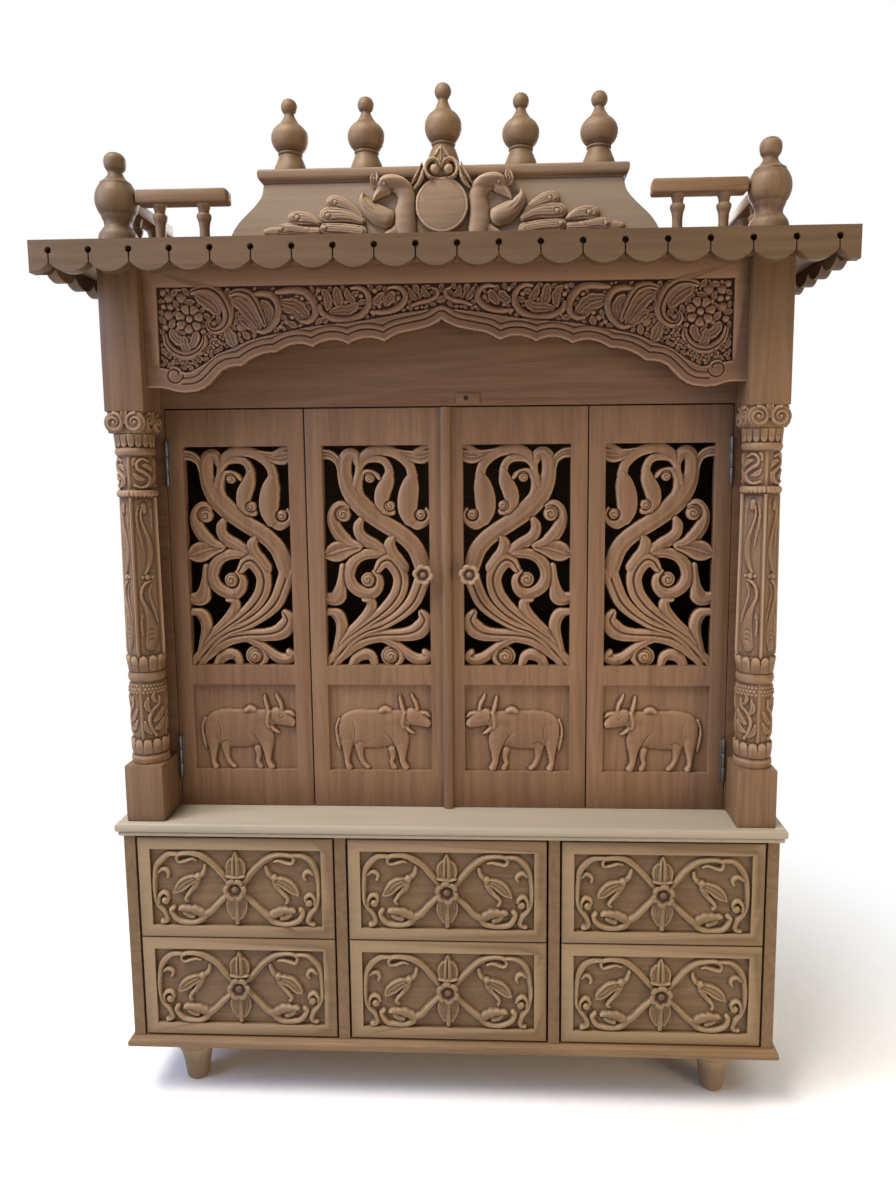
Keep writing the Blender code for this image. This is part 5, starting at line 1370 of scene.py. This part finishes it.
def height_at(relief, x, y):
    return float(relief.height[np.searchsorted(relief.vs, y), np.searchsorted(relief.us, x)])


def crest():
    node = "crown_carving"
    low, high = box_mm(node)
    centre_z = box_mm("roof_board")[1][2] + CREST_UP
    relief = Relief(grid_lines(-CREST_HALF, CREST_HALF, CARVE),
                    grid_lines(low[2] - centre_z, high[2] - centre_z + 3, CARVE), pierced=True)
    for mirror in (1, -1):
        def raised(strokes):
            for points, section, rise in strokes:
                relief.stroke(reflected(points, mirror), rise, section, floor=CREST_FLOOR)

        for points, rise in FEATHERS:
            relief.stroke(reflected(points, mirror, FEATHER_SWELL), rise, rimmed, floor=CREST_FLOOR)
            for shift in (-0.22, 0.22):
                line = [(x, y + shift * r, 0.7) for x, y, r in points[:-1]]
                relief.groove(reflected(line, mirror), 0.8)
        for x, y, radius in FEATHER_EYES:
            floor = height_at(relief, mirror * x, y) - 0.4
            relief.ball((mirror * x, y), radius, 1.4, floor=floor, moat=1.3)
        raised(BIRD)
        relief.ball((mirror * BIRD_EYE[0], BIRD_EYE[1]), BIRD_EYE[2], 2.2, floor=11.4, moat=1.2)
        for line in BIRD_LINES:
            relief.groove(reflected(line, mirror), 1.3)
        raised(CREST_TOP)
        relief.ball((mirror * CREST_BUD[0], CREST_BUD[1]), CREST_BUD[2], 10.6, floor=CREST_FLOOR, moat=2.0)
    for points, section, rise in HOOD:
        for mirror in (1, -1):
            relief.stroke(reflected(points, mirror), rise, section, floor=CREST_FLOOR)
    ring = np.hypot(relief.u, relief.v)
    relief.height = np.where(ring < MEDALLION + 1.6, np.minimum(relief.height, 6), relief.height)
    past = ring - MEDALLION
    dish = 12.2 - 0.5 * swell(past, -4.5, 0.9) - 1.4 * unit((past + 1.4) / 1.4)
    whole = (slice(None), slice(None))
    relief.lay(whole, MEDALLION - ring, np.where(ring < MEDALLION, dish, 9.0))
    lean = unit((relief.v - 26) / 13) * 8.2                          # forward, past the edge of the shelf
    relief.height = np.where(ring > MEDALLION, relief.height + lean, relief.height)
    piece("crest", joined([relief.mesh(facing(0, centre_z, high[1]), keep=0.34)]), WOOD_X, node)


# Pillars: height above the foot block, radius, and share of the way to a square section set cornerwise
SHAFT = (
    (0, 28, 0), (2, 29.6, 0), (8, 30, 0), (13, 29.6, 0), (15, 27.4, 0), (17, 27.4, 0.1), (28, 28.4, 0.1),
    (40, 28, 0.1), (43, 27.4, 0.4), (60, 28.6, 0.5), (90, 28.4, 0.5), (116, 29.8, 0.4), (124, 30, 0.3),
    (133, 28, 0.3), (138, 27, 0.2), (140, 28.4, 0), (146, 29.6, 0), (152, 28.4, 0), (154, 26.6, 0),
    (166, 28, 0.1), (178, 30, 0.3), (182, 30.5, 0.9), (190, 31.4, 1), (436, 29.4, 1), (438, 28.6, 0.3),
    (443, 30, 0), (448, 28.6, 0), (450, 27.6, 0.4), (462, 29, 0.5), (488, 29, 0.5), (500, 27.8, 0.4),
    (503, 27.8, 0), (505, 30, 0), (509, 31, 0), (514, 30, 0), (516, 27.6, 0), (526, 28.6, 0),
    (537, 30.4, 0), (539, 31, 0), (571, 31, 0),
)
SHAFT_HEIGHT = 571
# Bands of petals: bottom, top, petals round the pillar, and whether their tips point up
PETAL_BANDS = ((17, 42, 12, 1), (154, 181, 12, 1), (438, 448, 28, 0), (516, 537, 16, 0))
CARVED_HEIGHTS = ((44, 137), (184, 434), (451, 500))
# Carving of one quarter of the shaft, across from the middle of its facet and up from the foot block
LOWER_DRUM = (
    ([(0, 48, 3), (-7, 60, 3.4), (-10, 76, 3.4), (-4, 90, 3.2), (6, 100, 3), (7, 112, 2.4)], ribbed, 3.0),
    ([(-2, 58, 2), (7, 62, 4.6), (14, 74, 2)], cupped, 2.6),
    ([(-3, 72, 2), (6, 78, 4.8), (14, 92, 2)], cupped, 2.6),
    ([(-8, 88, 2), (-13, 98, 4.4), (-11, 112, 1.6)], cupped, 2.6),
    ([(-8, 52, 2), (-15, 60, 4), (-17, 72, 2)], cupped, 2.6),
    ([(2, 104, 2), (-3, 112, 3.4), (-2, 118, 1.4)], cupped, 2.4),
)
UPPER_DRUM = (
    ([(-13, 456, 2.2), (-3, 452, 3), (8, 457, 3.4), (11, 468, 3.6), (2, 476, 3.4), (-8, 482, 3.4),
      (-9, 492, 3), (0, 498, 2.6), (9, 494, 2)], ribbed, 3.2),
    ([(-14, 474, 1.6), (-8, 468, 4), (0, 465, 1.8)], cupped, 2.6),
    ([(14, 480, 1.6), (8, 486, 4), (0, 488, 1.8)], cupped, 2.6),
    ([(-15, 488, 1.6), (-14, 496, 2.6), (-10, 500, 1.2)], cupped, 2.4),
    ([(15, 470, 1.6), (14, 462, 2.6), (12, 455, 1.2)], cupped, 2.4),
)
SHAFT_VINES = (
    ([(-1, 424, 5.4), (0, 416, 5)], domed, 3.2),
    ([(-6, 418, 2), (-7, 404, 2.4), (-2, 388, 3.2), (5, 372, 4.6), (8, 355, 6), (7, 338, 6), (2, 324, 4.4),
      (-4, 314, 2.4)], ribbed, 3.0),
    ([(-11, 424, 1.4), (-14, 408, 1.8), (-13, 390, 2.2), (-9, 372, 2.2), (-6, 356, 1.4)], cupped, 1.8),
    ([(12, 420, 1.4), (13, 404, 1.8), (13, 390, 1.4)], cupped, 1.6),
    ([(4, 303, 2.2), (-6, 298, 2.8), (-12, 288, 3), (-12, 274, 3), (-6, 260, 4.4), (0, 244, 7.4),
      (3, 226, 10), (2, 210, 11), (-1, 198, 9.4)], rimmed, 3.0),
    ([(6, 296, 1.6), (1, 282, 2.2), (6, 266, 2.4), (11, 250, 1.8), (14, 236, 1.2)], cupped, 2.0),
    ([(-13, 248, 1.4), (-15, 232, 1.8), (-14, 216, 1.4)], cupped, 1.8),
)
VINE_BALLS = 309.0           # height of the three balls in the middle of the vines
QUARTER = 44                 # drawn width of a quarter
AROUND = 144                 # points round the shaft
PILLAR_HALF = 31.5
FOOT_BLOCK = 95
CAPITAL_BLOCK = 218
VOLUTE_BAND = 34
CORE_HALF = 28.5


def facet_relief():
    relief = Relief(grid_lines(-QUARTER / 2, QUARTER / 2, QUARTER * 4 / AROUND),
                    grid_lines(0, SHAFT_HEIGHT, 1.4), rough=0.12)
    for points, section, rise in LOWER_DRUM + UPPER_DRUM + SHAFT_VINES:
        relief.stroke(points, rise, section)
    for z in (206, 214, 222):
        relief.groove([(-4, z, 0.9), (1, z + 3, 1.2), (5, z + 1, 0.9)], 1.2)
    relief.ball((0, VINE_BALLS), 5.6, 3.6, moat=0.8)
    for side in (-1, 1):
        relief.ball((side * 9, VINE_BALLS), 3.4, 2.4, moat=0.5)
    for row, z in enumerate((121, 126.5, 132)):
        for k in range(-3, 4):
            relief.ball(((k + 0.5 * (row % 2)) * 5.6, z), 2.3, 1.6)
    relief.settle()
    return relief


def petals(angle, z):
    """How far the petals of a band stand out at each angle and height."""
    rise = np.zeros(angle.shape)
    for low, high, count, up in PETAL_BANDS:
        t = (z - low) / (high - low)
        if not up:
            t = 1 - t
        x = (angle * count / (2 * np.pi)) % 1 - 0.5
        arch_line = half_round(2 * x)
        tip = 1 - 0.42 * (1 - arch_line)
        body = 0.4 + 1.9 * arch_line ** 0.7 * (0.55 + 0.45 * t)
        rise += np.where((z >= low) & (z <= high), np.where(t < tip, body, -1.2), 0)
    return rise


def shaft(centre, foot, stretch):
    """The carved shaft of a pillar, wrapped round its axis."""
    facet = facet_relief()
    columns = AROUND // 4
    taken = np.round(np.linspace(0, facet.height.shape[1] - 1, columns + 1)).astype(int)[:-1]
    fade = unit((1 - np.abs(np.linspace(-1, 1, columns + 1)[:-1])) * 7)
    carving = np.tile(facet.height[:, taken] * fade, (1, 4))
    angle, z = np.meshgrid(2 * np.pi * np.arange(AROUND) / AROUND, facet.vs)
    heights, radii, squareness = np.array(SHAFT, float).T
    radius, square = np.interp(z, heights, radii), np.interp(z, heights, squareness)
    power = 2 - 0.92 * square
    c, s = np.abs(np.cos(angle)), np.abs(np.sin(angle))
    radius = radius / (c ** power + s ** power + 1e-9) ** (1 / power)
    edge = np.abs((angle + np.pi / 4) % (np.pi / 2) - np.pi / 4) * radius
    rib = unit(square * 1.2) * (1.3 * swell(edge, 0, 1.7) - 0.9 * swell(edge, 4.0, 1.2))
    flat = np.logical_or.reduce([(z > low) & (z < high) for low, high in CARVED_HEIGHTS])
    bumps = rib + np.where(flat, carving, 0) + petals(angle, z)
    radius = radius + bumps
    # Hollows of the shaft are marked darker, painted shade, and raised carving lighter, rubbed wear with a
    # painted highlight
    tone = np.clip((radius - blurred(radius, 4)) / 1.1, -1, 1)
    x, y = centre[0] + radius * np.cos(angle), centre[1] + radius * np.sin(angle)
    verts = np.stack([x.ravel(), y.ravel(), (foot + z * stretch).ravel()], 1)
    number = np.arange(z.size).reshape(z.shape)
    after = np.roll(number, -1, 1)
    quads = np.stack([number[:-1], after[:-1], after[1:], number[1:]], -1).reshape(-1, 4).tolist()
    quads += [number[0][::-1].tolist(), number[-1].tolist()]
    mesh = bpy.data.meshes.new("shaft")
    mesh.from_pydata(verts * MM, [], quads)
    mark(mesh, "relief", tone.ravel())
    return thinned(mesh, 0.33)


def volute_path(centre, direction, turns=1.6, count=22):
    """A spiral from the outside in, as a tapering stroke."""
    return spiral(centre, count, lambda t: (math.pi / 2 - direction * 2 * math.pi * turns * t,
                                            12.6 * (1 - t) ** 0.8 + 1.6, 3.4 - 1.6 * t))


def capital_relief(width, height):
    relief = Relief(grid_lines(-width / 2 - 2, width / 2 + 2, CARVE), grid_lines(-0.5, height, CARVE),
                    pierced=True)
    for side in (-1, 1):
        middle = (side * 16.6, 16.6)
        relief.ball(middle, 16.4, 3.4, floor=1.2)
        relief.stroke(volute_path(middle, -side), 4.6, rounded, floor=1.6)
        relief.ball(middle, 3.6, 5.2, floor=1.6, moat=1.2)
    relief.stroke([(0, 33, 6), (0, 24, 4.4), (0, 14, 1)], 4, cupped, floor=1.6)
    return relief


def pillars():
    (_, _, counter), (_, back, roof) = box_mm("pillar_left")
    middle = middle_mm("pillar_left")[0]
    shoulder, capital = counter + FOOT_BLOCK - SEAT, roof + SEAT - CAPITAL_BLOCK
    stretch = (capital - shoulder) / SHAFT_HEIGHT
    centre = (middle, (FRONT + back) / 2)
    core_low = capital - VOLUTE_BAND * stretch

    def pillar_block(half, front, rear, low, high, edge):
        return block((middle - half, front, low), (middle + half, rear, high), edge)

    meshes = [pillar_block(PILLAR_HALF, FRONT, back, counter, shoulder, 2.4),
              pillar_block(PILLAR_HALF, FRONT, back, capital - 1, roof, 2.4),
              shaft(centre, shoulder - 0.5, stretch),
              pillar_block(CORE_HALF, FRONT + 3, back - 2, core_low, capital + 1, 2)]
    faces = (
        (lambda u, v, h: (middle + u, FRONT + 3.2 - h, core_low + v)),
        (lambda u, v, h: (middle - 28.4 - h, centre[1] - u, core_low + v)),
        (lambda u, v, h: (middle + 28.4 + h, centre[1] + u, core_low + v)),
    )
    volutes = capital_relief(2 * PILLAR_HALF, VOLUTE_BAND)
    left = joined(meshes + [volutes.mesh(place, back=-1.0, keep=0.5) for place in faces])
    right = mirrored_copy(left, 0)
    piece("column_left", left, WOOD_Z, "pillar_left")
    piece("column_right", right, WOOD_Z, "pillar_right")


# Flat boards with a shaped outline
def thickened(bm, front, thickness, edge):
    """Gives flat faces a thickness behind the plane at front, and rounds the rims of what faces it."""
    out = bmesh.ops.extrude_face_region(bm, geom=list(bm.faces))
    moved = [v for v in out["geom"] if isinstance(v, bmesh.types.BMVert)]
    bmesh.ops.translate(bm, verts=moved, vec=(0, thickness * MM, 0))
    bmesh.ops.recalc_face_normals(bm, faces=bm.faces)
    rims = [e for e in bm.edges if all(abs(v.co.y - front * MM) < 1e-7 for v in e.verts)
            and e.calc_face_angle(0) > 1]
    bmesh.ops.bevel(bm, geom=rims, offset=edge * MM, segments=2, affect="EDGES", clamp_overlap=True)
    return mesh_from(bm)


LOBE_DROP = 15.0
KEYHOLE = (4.8, 15.0, 0.9)     # radius, depth of its centre below the top, half width of its slit
LOBES_ACROSS = 20
FIRST_CUSP = 24.0              # of a side board, from its front


def lobed_board(cusps, ends, bottom, top, pitch, front, thickness):
    """A scalloped board, drawn between its ends: lobes between cusps, each cusp with a slit and a keyhole."""
    half = pitch / 2
    radius = (half ** 2 + LOBE_DROP ** 2) / (2 * LOBE_DROP)
    keyhole, drop, slit = KEYHOLE
    lean = math.asin(slit / keyhole)
    bm = bmesh.new()
    found = {}

    def vertex(x, z):
        key = (round(x, 3), round(z, 3))
        if key not in found:
            found[key] = vert(bm, x, front, z)
        return found[key]

    def half_hole(x, side):
        """Points from the slit up round one side of a keyhole, to its top."""
        angles = [-math.pi / 2 + side * (lean + (math.pi - lean) * k / 8) for k in range(9)]
        return [(x + keyhole * math.cos(a), top - drop + keyhole * math.sin(a)) for a in angles]

    stops = [ends[0]] + cusps + [ends[1]]
    for index, (a, b) in enumerate(zip(stops, stops[1:])):
        first, last = index == 0, index == len(cusps)
        middle = b - half if first else a + half
        low_x, high_x = (a if first else a + slit), (b if last else b - slit)
        ring = []
        for k in range(15):
            x = low_x + (high_x - low_x) * (0.5 - 0.5 * math.cos(math.pi * k / 14))
            ring.append((x, bottom + radius - math.sqrt(max(radius ** 2 - (x - middle) ** 2, 0))))
        if not last:
            ring += half_hole(b, -1)
        ring += [(b, top), (a, top)]
        if not first:
            ring += half_hole(a, 1)[::-1]
        bm.faces.new([vertex(*p) for p in ring])
    return thickened(bm, front, thickness, 0.7)


def fascias():
    low, high = box_mm("fascia_front")
    pitch = (high[0] - low[0]) / LOBES_ACROSS
    cusps = [low[0] + pitch * (k + 0.5) for k in range(LOBES_ACROSS)]
    mesh = lobed_board(cusps, (low[0], high[0]), low[2], high[2], pitch, low[1], high[1] - low[1])
    piece("eaves_front", joined([mesh]), WOOD_X, "fascia_front", smooth_angle=30)
    for part in ("left", "right"):
        low, high = box_mm(f"fascia_{part}")
        count = int((high[1] - low[1] - FIRST_CUSP - KEYHOLE[0]) / pitch) + 1
        cusps = [low[1] + FIRST_CUSP + pitch * k for k in range(count)]
        mesh = lobed_board(cusps, (low[1], high[1]), low[2], high[2], pitch, -high[0], high[0] - low[0])
        mesh.transform(Matrix(((0, -1, 0, 0), (1, 0, 0, 0), (0, 0, 1, 0), (0, 0, 0, 1))))
        mesh = joined([mesh])
        if part == "left":
            mesh = mirrored_copy(mesh, (low[0] + high[0]) / 2)
        piece(f"eaves_{part}", mesh, WOOD_Y, f"fascia_{part}", smooth_angle=30)


def moulded(half_x, low_y, high_y, profile, all_round=False):
    """A slab with a moulded edge; profile is (overhang, height) from the bottom up."""
    bm = bmesh.new()
    rings = []
    for overhang, z in profile:
        x, front = half_x + overhang, low_y - overhang
        rear = high_y + (overhang if all_round else 0)
        rings.append([vert(bm, cx, cy, z) for cx, cy in ((-x, rear), (-x, front), (x, front), (x, rear))])
    skin(bm, rings)
    return mesh_from(bm)


def bead(start, end, bulge, count=8):
    """Points of a rounded edge between two (overhang, height) points."""
    out = []
    for k in range(count + 1):
        angle = math.pi * k / count
        t = (1 - math.cos(angle)) / 2
        out.append((start[0] + (end[0] - start[0]) * t + bulge * math.sin(angle),
                    start[1] + (end[1] - start[1]) * t))
    return out


# Edges of the three slabs, from their underside at low to their top at high
def counter_edge(low, high):
    lower = [(2, low)] + bead((3, low + 0.5), (4.5, low + 8), 2.4) + [(7, low + 8.5)]
    return lower + bead((8, low + 9.5), (8, high - 1.4), 2.0) + [(6.6, high - 0.4), (5, high)]


def plinth_edge(low, high):
    upper = [(5, high - 3.6), (3.6, high - 0.6), (2.6, high)]
    return [(5, low)] + bead((6.5, low + 0.5), (6.5, high - 5), 2.5) + upper


def shelf_edge(low, high):
    lower = [(0, low), (1.2, low + 1.4), (3.4, low + 3.2), (5.6, low + 4.4)]
    return lower + bead((5.8, low + 5.4), (6.4, high - 1), 1.8) + [(5.2, high)]


# Name, node, how far the edge's drawing stands in from the box, its drawing, and whether it runs all round
SLABS = (
    ("counter", "counter_top", 10, counter_edge, False),
    ("plinth", "plinth_board", 9, plinth_edge, False),
    ("crown_shelf", "crown_plate", 8, shelf_edge, True),
)
CROWN_OUTLINE = [
    (51, 0), (50.5, 12), (49.5, 24), (45, 39), (33, 56), (16, 72), (3, 85), (-5, 97), (-8, 113),
]
CROWN_DRAWN = 113


def slabs():
    for name, node, inset, edge, all_round in SLABS:
        low, high = box_mm(node)
        rear = high[1] - inset if all_round else high[1]
        mesh = moulded(high[0] - inset, low[1] + inset, rear, edge(low[2], high[2]), all_round)
        piece(name, joined([mesh]), WOOD_X, node)
    low, high = box_mm("crown_body")
    rise = (high[2] + SEAT - low[2] + SEAT) / CROWN_DRAWN
    plate_half = box_mm("crown_plate")[1][0]
    line = [(plate_half + x, min(max(low[2] - SEAT + z * rise, low[2]), high[2]))
            for x, z in sampled_line(CROWN_OUTLINE, 3)]
    bm = bmesh.new()
    bm.faces.new([vert(bm, x, low[1], z) for x, z in line + [(-x, z) for x, z in reversed(line)]])
    mesh = thickened(bm, low[1], high[1] - low[1], 1.4)
    piece("crown", joined([mesh]), WOOD_X, "crown_body", smooth_angle=25)


# Hinges and the lock
LOCK = (34.2, 1181.0)          # keyhole: across, and up from the floor
LOCK_PLATE = ((-16, -9.5), (22, 8.5))
HINGE_PLATE = 1.6              # thickness
KNUCKLES = 3
PIN_PLACE = (3.4, 4.4)         # in from the outer edge of the plates, and forward of their back
PIN_HEAD = [(0, 0, 1), (2.3, 0, 1), (2.3, 1, 1), (0, 1, 1)]
KEYHOLE_CUP = [(0, 0, 1), (3.4, 0, 1), (4, 0.5, 1), (4, 1, 1), (0, 1, 1)]


def hinges():
    for part, sign in (("left", -1), ("right", 1)):
        for level in ("lower", "upper"):
            node = f"hinge_{part}_{level}"
            low, high = box_mm(node)
            plate_low = (low[0], high[1] - HINGE_PLATE, low[2] + 0.5)
            meshes = [block(plate_low, (*high[:2], high[2] - 0.5), 0.4)]
            outer = low[0] if sign < 0 else high[0]
            x, y = outer - sign * PIN_PLACE[0], high[1] - PIN_PLACE[1]
            length = (high[2] - low[2]) / KNUCKLES
            knuckle = [(0, 0.3, 1), (2.9, 0.3, 1), (3.3, 0.9, 1), (3.3, length - 0.9, 1),
                       (2.9, length - 0.3, 1), (0, length - 0.3, 1)]
            meshes += [turned(knuckle, (x, y, low[2] + k * length), 20, 1) for k in range(KNUCKLES)]
            meshes += [turned(PIN_HEAD, (x, y, z), 16, 1) for z in (low[2] - 1.2, high[2] + 0.2)]
            piece(f"butt_{part}_{level}", joined(meshes), STEEL, node)


def lock():
    face = box_mm("door_frame")[0][1]
    (left, bottom), (right, top) = LOCK_PLATE
    x, z = LOCK
    plate = block((x + left, face - 1.8, z + bottom), (x + right, face + 0.5, z + top), 0.7)
    piece("lock_plate", plate, WOOD_X)
    # The keyhole is a shallow cup that its tone marks near-black, painted shade for the depth of the hole
    hole = turned(KEYHOLE_CUP, (0, 0, 0), 24, 1)
    hole.transform(Matrix.Translation((x * MM, (face - 1.2) * MM, z * MM))
                   @ Matrix.Rotation(math.radians(90), 4, "X"))
    piece("keyhole", hole, WOOD_X)


for make in (door_leaves, drawer_fronts, turnings, balustrades, arch, crest, pillars, fascias, slabs,
             hinges, lock):
    make()


# Carried-over nodes
def grain_of(node):
    """A board's grain runs along its longest side."""
    low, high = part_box(node)
    size = high - low
    return (WOOD_X, WOOD_Y, WOOD_Z)[max(range(3), key=lambda axis: size[axis])]


for index, (node, obj) in enumerate(sorted(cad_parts.items())):
    look = STEEL if node.startswith("hinge") else grain_of(node)
    obj.data.materials.clear()
    obj.data.materials.append(look)
    mark_tones_and_painted_light(obj.data, node, float(index % 19) + 0.5)
